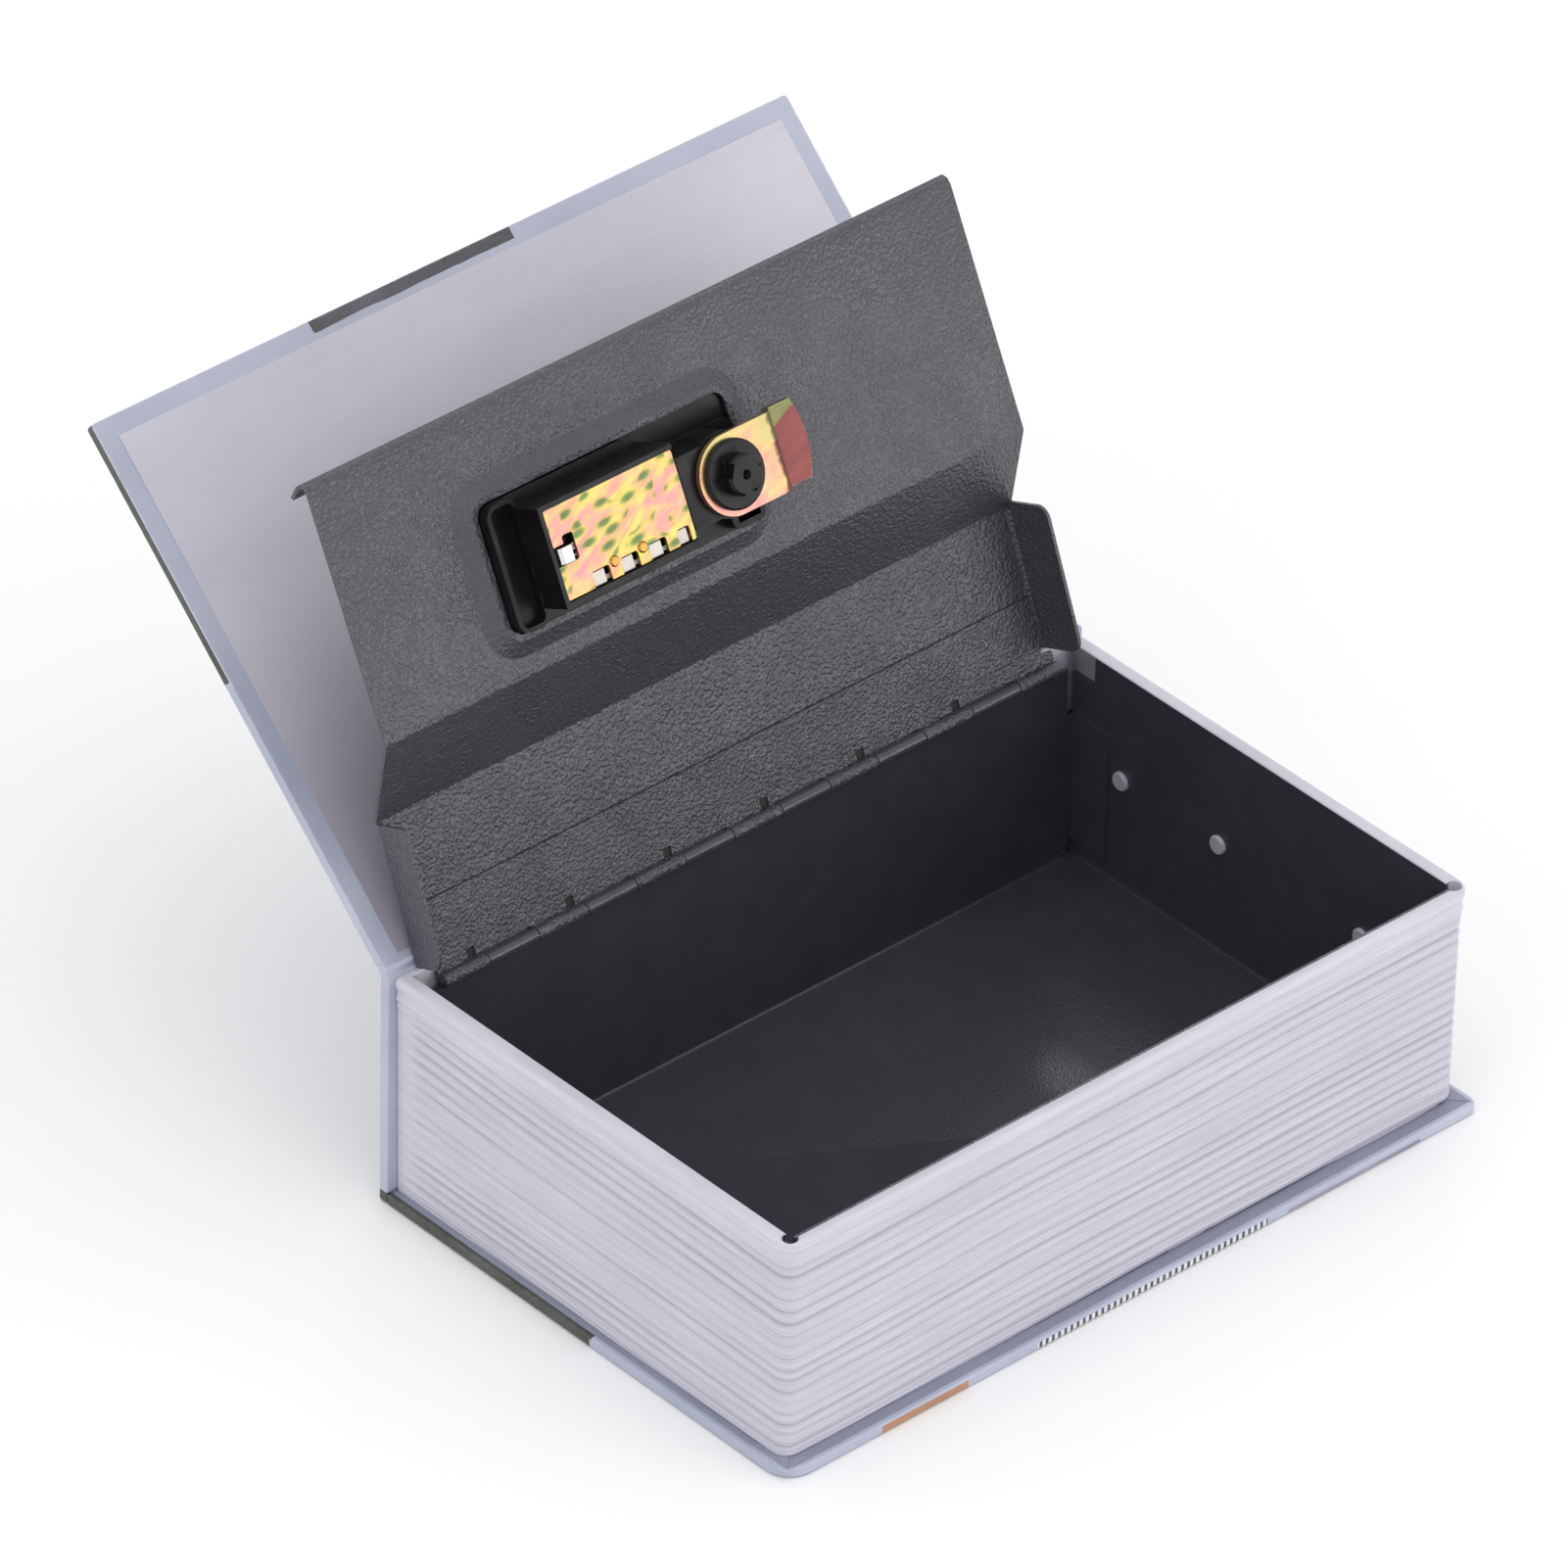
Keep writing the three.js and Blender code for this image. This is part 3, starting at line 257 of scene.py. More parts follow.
# %% [markdown]
# ## Paint that dried like orange peel
#
# Baked powder paint doesn't dry flat. It pulls itself into low rounded pimples, under a millimetre apart,
# and the gloss breaks up on them. A bump is enough, because the pimples are too low to change the
# outline. Two sizes of noise are added: the pimples, and a slower swell that makes some areas calmer than
# others.

# %% Effect: orange peel
peel, given, result = effect(
    "orange peel",
    [("Size", "NodeSocketFloat", 1.0), ("Calm", "NodeSocketFloat", 0.3)],
    [("Height", "NodeSocketFloat"), ("Mottle", "NodeSocketFloat")],
)
place = own_place(peel)
pimples = noise(peel, place, arithmetic(peel, "DIVIDE", 1000.0, given["Size"]), 1.2, 0.45)
swell = noise(peel, place, 110.0)
amount = minus(peel, 1.0, times(peel, swell, given["Calm"]))
rounded = steps(peel, pimples, [(0.28, 0.0), (0.5, 0.5), (0.74, 1.0)], "B_SPLINE")
wire(peel, times(peel, rounded, amount), result["Height"])
wire(peel, steps(peel, swell, [(0.35, 0.0), (0.65, 1.0)]), result["Mottle"])

# %% [markdown]
# ## Worn and handled edges
#
# Paint and plating thin out where sheet metal turns a corner. The Bevel node gives the direction that a
# rounded edge would face. Where it differs from the true surface direction there is an edge, and a little
# noise breaks the line up so that the wear isn't a drawn outline.

# %% Effect: worn edges
wear, given, result = effect(
    "worn edge",
    [("Reach", "NodeSocketFloat", 0.0004), ("Strength", "NodeSocketFloat", 1.0)],
    [("Mask", "NodeSocketFloat")],
)
rounded_edge = put(wear, "ShaderNodeBevel", samples=4)
wire(wear, given["Reach"], rounded_edge.inputs["Radius"])
surface = put(wear, "ShaderNodeNewGeometry")
agreement = put(wear, "ShaderNodeVectorMath", operation="DOT_PRODUCT")
wire(wear, rounded_edge.outputs["Normal"], agreement.inputs[0])
wire(wear, surface.outputs["Normal"], agreement.inputs[1])
turned = minus(wear, 1.0, agreement.outputs["Value"])
edge = times(wear, turned, 6.0, clamp=True)
broken = steps(wear, noise(wear, own_place(wear), 420.0, 3.0), [(0.42, 0.0), (0.6, 1.0)])
mask = times(wear, edge, broken)
wire(wear, times(wear, mask, given["Strength"], clamp=True), result["Mask"])

# %% [markdown]
# ## Dust and fingers
#
# Nothing that is handled stays evenly clean. Slow clouds of noise change how rough a surface is, and
# small specks sit on it. The group gives the clouds and the specks as two masks, and each finish decides
# how much of each.

# %% Effect: handling
handling, given, result = effect(
    "handling",
    [("Cloud size", "NodeSocketFloat", 20.0)],
    [("Clouds", "NodeSocketFloat"), ("Specks", "NodeSocketFloat")],
)
place = own_place(handling)
clouds = noise(handling, place, arithmetic(handling, "DIVIDE", 1000.0, given["Cloud size"]), 4.0, 0.6)
wire(handling, steps(handling, clouds, [(0.35, 0.0), (0.65, 1.0)]), result["Clouds"])
specks = put(handling, "ShaderNodeTexVoronoi", {"Scale": 260.0, "Randomness": 1.0})
wire(handling, place, specks.inputs["Vector"])
wire(handling, steps(handling, specks.outputs["Distance"], [(0.04, 1.0), (0.07, 0.0)]), result["Specks"])

# %% [markdown]
# ## Fibres in paper
#
# Paper is felted fibre. Seen close it has a fine uneven tooth and faint cloudy patches. Stretching one
# noise a little along the grain direction of the sheet is enough to suggest it.

# %% Effect: paper fibres
fibres, given, result = effect(
    "paper fibres",
    [("Grain", "NodeSocketFloat", 2200.0)],
    [("Height", "NodeSocketFloat"), ("Tone", "NodeSocketFloat")],
)
place = own_place(fibres)
stretch = put(fibres, "ShaderNodeMapping", {"Scale": (0.45, 1.0, 1.0)})
wire(fibres, place, stretch.inputs["Vector"])
tooth = noise(fibres, stretch.outputs[0], given["Grain"], 4.0, 0.65)
patches = noise(fibres, place, 60.0, 3.0)
wire(fibres, tooth, result["Height"])
mixed = plus(fibres, times(fibres, tooth, 0.5), times(fibres, patches, 0.5))
wire(fibres, steps(fibres, mixed, [(0.3, 0.0), (0.7, 1.0)]), result["Tone"])

# %% [markdown]
# ## Yellow zinc
#
# Zinc-plated steel is dipped in a chromate bath, and the film is so thin that it shows colours like oil
# on water: straw yellow, pink and green, drawn out in one direction where the bath ran off. Stretched
# noise picks the colour from a ramp, and a second pattern of short strokes makes the green dashes of the
# rolled sheet.

# %% Effect: zinc rainbow
tilt = math.atan2(to_lip.z, to_lip.y)
rainbow, given, result = effect(
    "zinc rainbow",
    [("Dashes", "NodeSocketFloat", 1.0), ("Shift", "NodeSocketFloat", 0.0)],
    [("Color", "NodeSocketColor"), ("Haze", "NodeSocketFloat")],
)
on_lid = put(rainbow, "ShaderNodeMapping", {"Rotation": (-tilt, 0.0, 0.0)})
wire(rainbow, own_place(rainbow), on_lid.inputs["Vector"])


def drawn_out(tree, vector, angle, length):
    """Turns a pattern by that angle in the lid's plane and stretches it along the new direction."""
    turn_and_stretch = {"Rotation": (0.0, 0.0, math.radians(angle)), "Scale": (length, 1.0, 1.0)}
    node = put(tree, "ShaderNodeMapping", turn_and_stretch, vector_type="TEXTURE")
    wire(tree, vector, node.inputs["Vector"])
    return node.outputs[0]


drips = drawn_out(rainbow, on_lid.outputs[0], 24, 3.0)
film = noise(rainbow, drips, 420.0, 4.0, 0.6, Distortion=0.2)
pools = noise(rainbow, on_lid.outputs[0], 95.0, 1.0)
both = plus(rainbow, times(rainbow, film, 0.62), times(rainbow, pools, 0.38))
thickness = plus(rainbow, both, given["Shift"])
tints = steps(rainbow, thickness, [
    (0.36, linear(176, 164, 90)),
    (0.44, linear(206, 166, 98)),
    (0.50, linear(214, 152, 112)),
    (0.56, linear(214, 138, 124)),
    (0.63, linear(208, 128, 132)),
    (0.72, linear(190, 120, 136)),
])
rows = drawn_out(rainbow, on_lid.outputs[0], 10, 2.4)
strokes = put(rainbow, "ShaderNodeTexVoronoi", {"Scale": 370.0, "Randomness": 0.6}, voronoi_dimensions="2D")
wire(rainbow, rows, strokes.inputs["Vector"])
present = steps(rainbow, noise(rainbow, on_lid.outputs[0], 210.0, 0.0), [(0.42, 0.0), (0.5, 1.0)])
given_dashes = times(rainbow, present, given["Dashes"])


def dash_layer(core, strength, edge):
    """How strongly one colour of a dash shows, from its core out to its edge."""
    nearness = steps(rainbow, strokes.outputs["Distance"], [(core, strength), (edge, 0.0)], "EASE")
    return times(rainbow, nearness, given_dashes)


tints = blend_colour(rainbow, dash_layer(0.22, 0.8, 0.58), tints, linear(150, 158, 74))
tints = blend_colour(rainbow, dash_layer(0.12, 0.85, 0.4), tints, linear(74, 96, 70))
wire(rainbow, tints, result["Color"])
wire(rainbow, film, result["Haze"])

# %% [markdown]
# ## Fine grain of a mould
#
# Plastic copies its mould. The black lock and the page shell both carry a very fine etched grain, so one
# group serves both with its own grain size.

# %% Effect: moulded grain
grain, given, result = effect(
    "moulded grain",
    [("Size", "NodeSocketFloat", 0.3)],
    [("Height", "NodeSocketFloat"), ("Tone", "NodeSocketFloat")],
)
place = own_place(grain)
etched = noise(grain, place, arithmetic(grain, "DIVIDE", 1000.0, given["Size"]), 3.0, 0.6)
flow = noise(grain, place, 45.0)
wire(grain, etched, result["Height"])
wire(grain, steps(grain, flow, [(0.3, 0.0), (0.7, 1.0)]), result["Tone"])

# %% [markdown]
# ## A plain printed wrap
#
# The case is wrapped in laminated printed paper. This copy carries a generic print of its own: a calm
# lavender field, dark olive and warm brown blocks that run off the edges, a thin brown frame on the
# front, and a short run of fine stripes. The blocks are boxes in the coordinates of the closed book, so
# they wrap round a board's edge as real print does. The front cover stands open, and a Mapping node in
# its own material folds its coordinates shut first.

# %% Effect: printed wrap
wrap_print, given, result = effect("printed wrap", [("Place", "NodeSocketVector", (0.0, 0.0, 0.0))],
                                   [("Color", "NodeSocketColor")])
axes = put(wrap_print, "ShaderNodeSeparateXYZ")
wire(wrap_print, given["Place"], axes.inputs[0])
wobble = noise(wrap_print, given["Place"], 90.0, 3.0)
clouds = steps(wrap_print, noise(wrap_print, given["Place"], 16.0, 3.0, 0.55), [(0.35, 0.0), (0.65, 1.0)])
field = blend_colour(wrap_print, clouds, linear(160, 166, 186), linear(180, 184, 201))


def between(tree, value, low, high):
    above = arithmetic(tree, "GREATER_THAN", value, low)
    below = arithmetic(tree, "LESS_THAN", value, high)
    return times(tree, above, below)


def block(x_span, y_span, z_span, ragged=0.0):
    """A mask for a box of the closed book, in millimetres, with an edge that wanders by that much."""
    wander = minus(wrap_print, wobble, 0.5)
    wander = times(wrap_print, wander, ragged * 4 * mm)
    inside = between(wrap_print, axes.outputs["Z"], z_span[0] * mm, z_span[1] * mm)
    for label, span in (("X", x_span), ("Y", y_span)):
        value = plus(wrap_print, axes.outputs[label], wander)
        within = between(wrap_print, value, span[0] * mm, span[1] * mm)
        inside = times(wrap_print, inside, within)
    return inside


def wavering(dark, light):
    """An ink that wavers between two tones."""
    return blend_colour(wrap_print, wobble, dark, light)


dark_print = wavering(linear(30, 34, 28), linear(66, 70, 58))
slate_print = wavering(linear(44, 42, 48), linear(84, 82, 90))
brown_print = wavering(linear(150, 96, 62), linear(196, 152, 122))
faded_print = wavering(linear(110, 108, 126), linear(160, 156, 176))
# Painted shade: a darker lilac on the back board's top margin, where the wrap turns in, for the shadow of
# the page shell's foot.
turned_in_shade = wavering(linear(126, 130, 150), linear(140, 144, 164))
stripe_pitch = 1.6 * mm
stripe_turns = times(wrap_print, axes.outputs["X"], 2 * math.pi / stripe_pitch)
waves = arithmetic(wrap_print, "SINE", stripe_turns)
stripes = blend_colour(wrap_print, arithmetic(wrap_print, "GREATER_THAN", waves, 0.1),
                       linear(214, 214, 222), linear(50, 52, 54))
printed = field
for mask, ink in (
    # Painted shade over the back board's top margin beside the shell.
    (block((-88.9, 88.9), (-57.5, 61), (2.2, 3.0)), turned_in_shade),
    (block((-95, -38), (-3, 60), (-1, 2.0), 0.8), dark_print),
    (block((-95, -88.9), (-3, 60), (1.9, 2.7)), dark_print),
    (block((-66, -44), (-70, -30), (-1, 1.9), 1.0), brown_print),
    (block((-26, 34), (-70, -34), (-1, 1.7)), stripes),
    (block((40, 74), (-70, -50), (-1, 1.1), 1.6), faded_print),
    (block((-95, -24), (-70, -4), (54.1, 57.0), 0.8), dark_print),
    (block((-36, 15), (-70, -57.3), (53.0, 57.0), 0.3), slate_print),
    (block((-10, 60), (-30, 40), (54.4, 57.0), 0.6), brown_print),
    (block((-6, 56), (-26, 36), (54.4, 57.0), 0.6), field),
    (block((-86, -50), (55, 70), (8, 46), 0.6), dark_print),
):
    printed = blend_colour(wrap_print, mask, printed, ink)
wire(wrap_print, printed, result["Color"])
print("shared effects:", [group.name for group in bpy.data.node_groups])

# %% [markdown]
# ## The finishes
#
# Each finish is one material, and the Principled shader stays in it. One helper makes the empty material
# with a bump ready. Each finish then mixes its own colour from the shared groups, and a second helper
# joins colour, roughness and height to the shader.

# %% Helper for finishes
def finish(name, roughness, bump_depth, **sockets):
    material = bpy.data.materials.new(name)
    material.use_nodes = True
    tree = material.node_tree
    shader = tree.nodes["Principled BSDF"]
    shader.inputs["Roughness"].default_value = roughness
    for key, value in sockets.items():
        shader.inputs[key.replace("_", " ")].default_value = value
    bump = put(tree, "ShaderNodeBump", {"Strength": 1.0, "Distance": bump_depth}, name="Bump")
    wire(tree, bump.outputs["Normal"], shader.inputs["Normal"])
    return material, tree


def dress(tree, colour, height, mask, smooth, rough):
    """Gives a finish its colour and the height of its bump, and lets a mask spread its roughness."""
    shader = tree.nodes["Principled BSDF"]
    wire(tree, colour, shader.inputs["Base Color"])
    wire(tree, height, tree.nodes["Bump"].inputs["Height"])
    spread = put(tree, "ShaderNodeMapRange", {"To Min": smooth, "To Max": rough})
    wire(tree, mask, spread.inputs["Value"])
    wire(tree, spread.outputs["Result"], shader.inputs["Roughness"])


# %% [markdown]
# ### Paint on the lid, the box and the hinge
#
# All the steel has the same slate grey powder paint, but it didn't land evenly. It is thick and strongly
# peeled on the lid, most of all low down near the hinge, and thinner inside the box, where it is calmer
# and glossier. Five materials come from one function with different peel sizes and depths, and one of
# them is painted shade: a near-black colour on the floors of the notches in the lid's leaf.

# %% Painted steel
def painted_steel(name, colour, worn, peel_size, peel_depth, smooth, rough, wear_strength=0.5, calm=0.45):
    material, tree = finish(name, smooth, peel_depth, Specular_IOR_Level=0.6)
    skin = use(tree, peel, Size=peel_size, Calm=calm)
    edges = use(tree, wear, Reach=0.0004, Strength=wear_strength)
    hands = use(tree, handling, Cloud_size=26.0)
    tone = blend_colour(tree, skin.outputs["Mottle"], colour, tuple(c * 1.12 for c in colour[:3]) + (1,))
    dust = times(tree, hands.outputs["Specks"], 0.06)
    dusty = blend_colour(tree, dust, tone, linear(150, 150, 152))
    tinted = blend_colour(tree, edges.outputs["Mask"], dusty, worn)
    dress(tree, tinted, skin.outputs["Height"], hands.outputs["Clouds"], smooth, rough)
    return material


slate = linear(65, 63, 70)
bright_edge = linear(96, 100, 108)
lid_paint = painted_steel("lid paint", slate, bright_edge, 0.76, 0.00027, 0.27, 0.35, 0.2, calm=0.35)
leaf_paint = painted_steel("leaf paint", slate, bright_edge, 0.66, 0.00034, 0.24, 0.32, calm=0.6)
box_paint = painted_steel("box paint", linear(54, 56, 63), linear(70, 72, 78), 0.5, 0.00005, 0.2, 0.26, 0.1)
# Painted shade: near-black paint that stands in for the shadow on the notch floors of the lid's leaf.
notch_shade_paint = painted_steel("notch painted shade", linear(14, 14, 16), linear(20, 20, 22), 0.4, 0.00002, 0.6, 0.8)
hinge_worn = linear(116, 120, 128)
hinge_paint = painted_steel("hinge paint", linear(58, 60, 67), hinge_worn, 0.42, 0.00005, 0.24, 0.34)

# %% [markdown]
# ### Paper, board and page shell
#
# The wrap is laminated, so it is smoother than the endpaper pasted inside it. The page shell is pale
# moulded plastic. Its grooves look darker partly because light doesn't reach them and partly because dust
# does, so the geometry will carry a `groove` value for each point, and the material reads it.

# %% Paper and plastic of the book
def wrap(name, fold_angle=0.0, hinge=(0.0, 0.0, 0.0)):
    """Laminated wrap. An open cover gives its angle and hinge line, so that its print folds shut."""
    material, tree = finish(name, 0.42, 0.00003, Specular_IOR_Level=0.4)
    paper = use(tree, fibres, Grain=1800.0)
    hands = use(tree, handling, Cloud_size=30.0)
    edges = use(tree, wear, Reach=0.0006, Strength=0.35)
    picture = use(tree, wrap_print)
    turn = Matrix.Rotation(fold_angle, 3, "X")
    shut = put(tree, "ShaderNodeMapping", {"Rotation": (fold_angle, 0.0, 0.0),
                                           "Location": Vector(hinge) - turn @ Vector(hinge)})
    wire(tree, own_place(tree), shut.inputs["Vector"])
    wire(tree, shut.outputs[0], picture.inputs["Place"])
    haze = times(tree, paper.outputs["Tone"], 0.10)
    toned = blend_colour(tree, haze, picture.outputs["Color"], linear(226, 228, 236))
    worn = blend_colour(tree, edges.outputs["Mask"], toned, linear(222, 224, 232))
    dress(tree, worn, paper.outputs["Height"], hands.outputs["Clouds"], 0.36, 0.5)
    return material


wrap_paper = wrap("wrap paper")
cover_joint = joints["cover_hinge"]
opened = math.radians(136.9)
open_wrap = wrap("wrap paper of the open cover", opened, cover_joint["pos_m"])

endpaper, tree = finish("endpaper", 0.75, 0.00005, Specular_IOR_Level=0.3)
paper = use(tree, fibres, Grain=1500.0)
hands = use(tree, handling, Cloud_size=40.0)
place = own_place(tree)
along = put(tree, "ShaderNodeMapping", {"Scale": (0.12, 1.0, 1.0)})
wire(tree, place, along.inputs["Vector"])
glue = steps(tree, noise(tree, along.outputs[0], 60.0), [(0.4, 0.12), (0.6, 0.0)])
toned = blend_colour(tree, paper.outputs["Tone"], linear(200, 197, 207), linear(207, 205, 216))
streaked_and_shaded = blend_colour(tree, glue, toned, linear(150, 148, 164))
axes = put(tree, "ShaderNodeSeparateXYZ")
wire(tree, place, axes.inputs[0])
# Painted shade: the endpaper is darker towards the fold, where the lid shades it, and a little darker
# towards its left end.
shade_by_fold = {"From Min": 0.058, "From Max": 0.112, "To Min": 0.9, "To Max": 0.0}
near_fold = put(tree, "ShaderNodeMapRange", shade_by_fold, interpolation_type="SMOOTHSTEP")
wire(tree, axes.outputs["Z"], near_fold.inputs["Value"])
streaked_and_shaded = blend_colour(tree, near_fold.outputs["Result"], streaked_and_shaded, linear(134, 130, 144))
shade_at_left = {"From Min": -0.09, "From Max": 0.06, "To Min": 0.2, "To Max": 0.0}
to_left = put(tree, "ShaderNodeMapRange", shade_at_left)
wire(tree, axes.outputs["X"], to_left.inputs["Value"])
streaked_and_shaded = blend_colour(tree, to_left.outputs["Result"], streaked_and_shaded, linear(162, 160, 172))
dress(tree, streaked_and_shaded, paper.outputs["Height"], hands.outputs["Clouds"], 0.7, 0.82)

page_plastic, tree = finish("page plastic", 0.5, 0.00004, Specular_IOR_Level=0.4)
skin = use(tree, grain, Size=0.3)
hands = use(tree, handling, Cloud_size=22.0)
groove = put(tree, "ShaderNodeAttribute", attribute_name="groove")
level = put(tree, "ShaderNodeMapping", {"Scale": (0.03, 0.03, 1.0)})
wire(tree, own_place(tree), level.inputs["Vector"])
leaves = noise(tree, level.outputs[0], 1500.0, 3.0, 0.6)
body = blend_colour(tree, skin.outputs["Tone"], linear(199, 197, 208), linear(204, 202, 213))
leaf_lines = steps(tree, leaves, [(0.35, 0.34), (0.62, 0.0)])
body = blend_colour(tree, leaf_lines, body, linear(168, 165, 179))
body = blend_colour(tree, groove.outputs["Fac"], body, linear(170, 167, 181))
height = plus(tree, times(tree, skin.outputs["Height"], 0.5), leaves)
dress(tree, body, height, hands.outputs["Clouds"], 0.44, 0.58)

# %% [markdown]
# ### Metals and mouldings of the lock
#
# The lock mixes five finishes: black moulded plastic, yellow zinc, bright steel, brass and a cream coated
# spring. Plating and bare metal have Metallic at 0.9 or 1, so their colour is the colour of their
# reflections. Plastic has none of it, so its colour is the body's and the gloss stays white. The spring's
# thin coat has a little.

# %% Finishes of the lock
def zinc(name, dashes, shift, tip=None):
    """Yellow zinc. A tip says where, along the hinge and upwards, the film turns olive and red brown."""
    material, tree = finish(name, 0.3, 0.00002, Metallic=0.9)
    film = use(tree, rainbow, Dashes=dashes, Shift=shift)
    edges = use(tree, wear, Reach=0.0003, Strength=0.6)
    colour = film.outputs["Color"]
    if tip:
        axes = put(tree, "ShaderNodeSeparateXYZ")
        wire(tree, own_place(tree), axes.inputs[0])
        height = minus(tree, axes.outputs["Z"], tip[1])
        run_off = minus(tree, shift, times(tree, height, 16.0))
        wire(tree, run_off, film.inputs["Shift"])
        colour = blend_colour(tree, 0.42, colour, linear(168, 150, 124))
        ragged = minus(tree, film.outputs["Haze"], 0.5)
        ragged = times(tree, ragged, 4.0 * mm)
        reach = plus(tree, axes.outputs["X"], ragged)
        reached = 1.0
        for slant, ink in ((0.0, linear(108, 108, 74)), (3.0, linear(114, 66, 64))):
            uneven = minus(tree, reach, times(tree, height, slant))
            span = put(tree, "ShaderNodeMapRange", {"From Min": tip[0], "From Max": tip[0] + 0.8 * mm})
            wire(tree, uneven, span.inputs["Value"])
            reached = times(tree, span.outputs["Result"], reached)
            colour = blend_colour(tree, reached, colour, ink)
    colour = blend_colour(tree, edges.outputs["Mask"], colour, linear(196, 180, 130))
    dress(tree, colour, film.outputs["Haze"], film.outputs["Haze"], 0.28, 0.5)
    return material


cam_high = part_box("cam")[1]
tip_length, red_below = 10.0 * mm, 5.4 * mm
plate_zinc = zinc("plate zinc", 1.0, 0.0)
cam_zinc = zinc("cam zinc", 0.0, -0.05, (cam_high[0] - tip_length, cam_high[2] - red_below))
strike_zinc = zinc("strike zinc", 0.0, -0.02)

black_plastic, tree = finish("black plastic", 0.4, 0.00002, Specular_IOR_Level=0.22)
skin = use(tree, grain, Size=0.25)
hands = use(tree, handling, Cloud_size=9.0)
edges = use(tree, wear, Reach=0.0003, Strength=0.6)
body = blend_colour(tree, skin.outputs["Tone"], linear(14, 14, 16), linear(22, 22, 24))
dust = times(tree, hands.outputs["Specks"], 0.1)
body = blend_colour(tree, dust, body, linear(120, 118, 116))
body = blend_colour(tree, edges.outputs["Mask"], body, linear(62, 62, 64))
dress(tree, body, skin.outputs["Height"], hands.outputs["Clouds"], 0.28, 0.45)


def plain_finish(name, dark, light, smooth, rough, metallic=1.0):
    """An even finish that wavers between two screen colours."""
    material, tree = finish(name, smooth, 0.00001, Metallic=metallic)
    skin = use(tree, grain, Size=0.4)
    hands = use(tree, handling, Cloud_size=6.0)
    tone = blend_colour(tree, skin.outputs["Tone"], linear(*dark), linear(*light))
    dress(tree, tone, skin.outputs["Height"], hands.outputs["Clouds"], smooth, rough)
    return material


bright_steel = plain_finish("bright steel", (196, 196, 200), (226, 226, 230), 0.15, 0.3)
spring_coat = plain_finish("cream spring", (196, 188, 180), (214, 206, 198), 0.35, 0.5, metallic=0.2)
brass = plain_finish("brass", (140, 98, 48), (196, 150, 84), 0.22, 0.4)
rivet_plastic = plain_finish("rivet plastic", (160, 158, 168), (178, 176, 186), 0.45, 0.6, metallic=0.0)
numeral_paint = plain_finish("numeral paint", (222, 222, 220), (236, 236, 234), 0.5, 0.65, metallic=0.0)
print("finishes:", len(bpy.data.materials))

# %% [markdown]
# ## Copies with softened edges
#
# A CAD solid has edges of no width, and light never catches them. A real edge is a small round. Each node
# is copied, its loose triangles are merged into faces, and a Bevel modifier rounds every sharp edge by a
# fraction of a millimetre. The copy takes the node's place and rides on the same body.

# %% Helper: soften a node
def piece_from(name, mesh, material):
    """A plain object in the scene, made from a finished mesh."""
    data = bpy.data.meshes.new(name)
    mesh.to_mesh(data)
    mesh.free()
    data.materials.append(material)
    return linked(name, data)


def softened(name, node, material, width, angle=30, segments=2):
    source = frame["nodes"][node]
    mesh = bmesh.new()
    mesh.from_mesh(source.data)
    bmesh.ops.remove_doubles(mesh, verts=mesh.verts, dist=2e-6)
    bmesh.ops.dissolve_limit(mesh, angle_limit=math.radians(0.5), verts=mesh.verts, edges=mesh.edges)
    for face in mesh.faces:
        face.smooth = True
    for edge in mesh.edges:
        edge.smooth = len(edge.link_faces) != 2 or edge.calc_face_angle(0) < math.radians(angle)
    piece = piece_from(name, mesh, material)
    bevel = piece.modifiers.new("softened edges", "BEVEL")
    bevel.width = width * mm
    bevel.segments = segments
    bevel.limit_method = "ANGLE"
    bevel.angle_limit = math.radians(angle)
    bevel.harden_normals = True
    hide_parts(node)
    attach(piece, body_of(source)[0])
    print(name, len(piece.data.polygons), "faces")
    return piece


# %% [markdown]
# ## Covers and spine
#
# The boards are wrapped in paper, which rounds their edges a little more than those of sheet metal. The
# fold between spine and front cover is a step of its own, after this one. The endpaper is thin, and its
# edge is left almost sharp.

# %% Covers, spine and endpaper
softened("wrapped_back_cover", "back_cover", wrap_paper, 0.5, segments=3)
softened("wrapped_spine", "spine", wrap_paper, 0.5, segments=3)
softened("wrapped_front_cover", "front_cover", open_wrap, 0.5, segments=3)
softened("pasted_endpaper", "front_endpaper", endpaper, 0.05)

# %% [markdown]
# ### The fold of the wrap
#
# The wrap paper runs over the joint between the spine and the cover without a gap. The fold is a roll as
# thick as a board, with its centre on the hinge line, so it meets both boards smoothly at every angle.
# Two short wedges carry the boards' faces up to the roll: one stays with the case and one turns with the
# cover. Each is drawn as a few points of the closed book and stretched along the hinge.

# %% Fold between spine and cover
def keep_piece(name, mesh, material, body):
    bmesh.ops.recalc_face_normals(mesh, faces=mesh.faces)
    piece = piece_from(name, mesh, material)
    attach(piece, body)
    return piece


def close_prism(mesh, ends):
    """Adds both ends and the sides between two outlines with the same number of points."""
    for end in ends:
        mesh.faces.new(end)
    for i in range(len(ends[0])):
        j = (i + 1) % len(ends[0])
        mesh.faces.new((ends[0][i], ends[0][j], ends[1][j], ends[1][i]))


def stretched(points):
    """A prism along the fold from (y, z) points in millimetres."""
    mesh = bmesh.new()
    ends = [[mesh.verts.new((x * mm, y * mm, z * mm)) for y, z in points] for x in (fold_left, fold_right)]
    close_prism(mesh, ends)
    return mesh


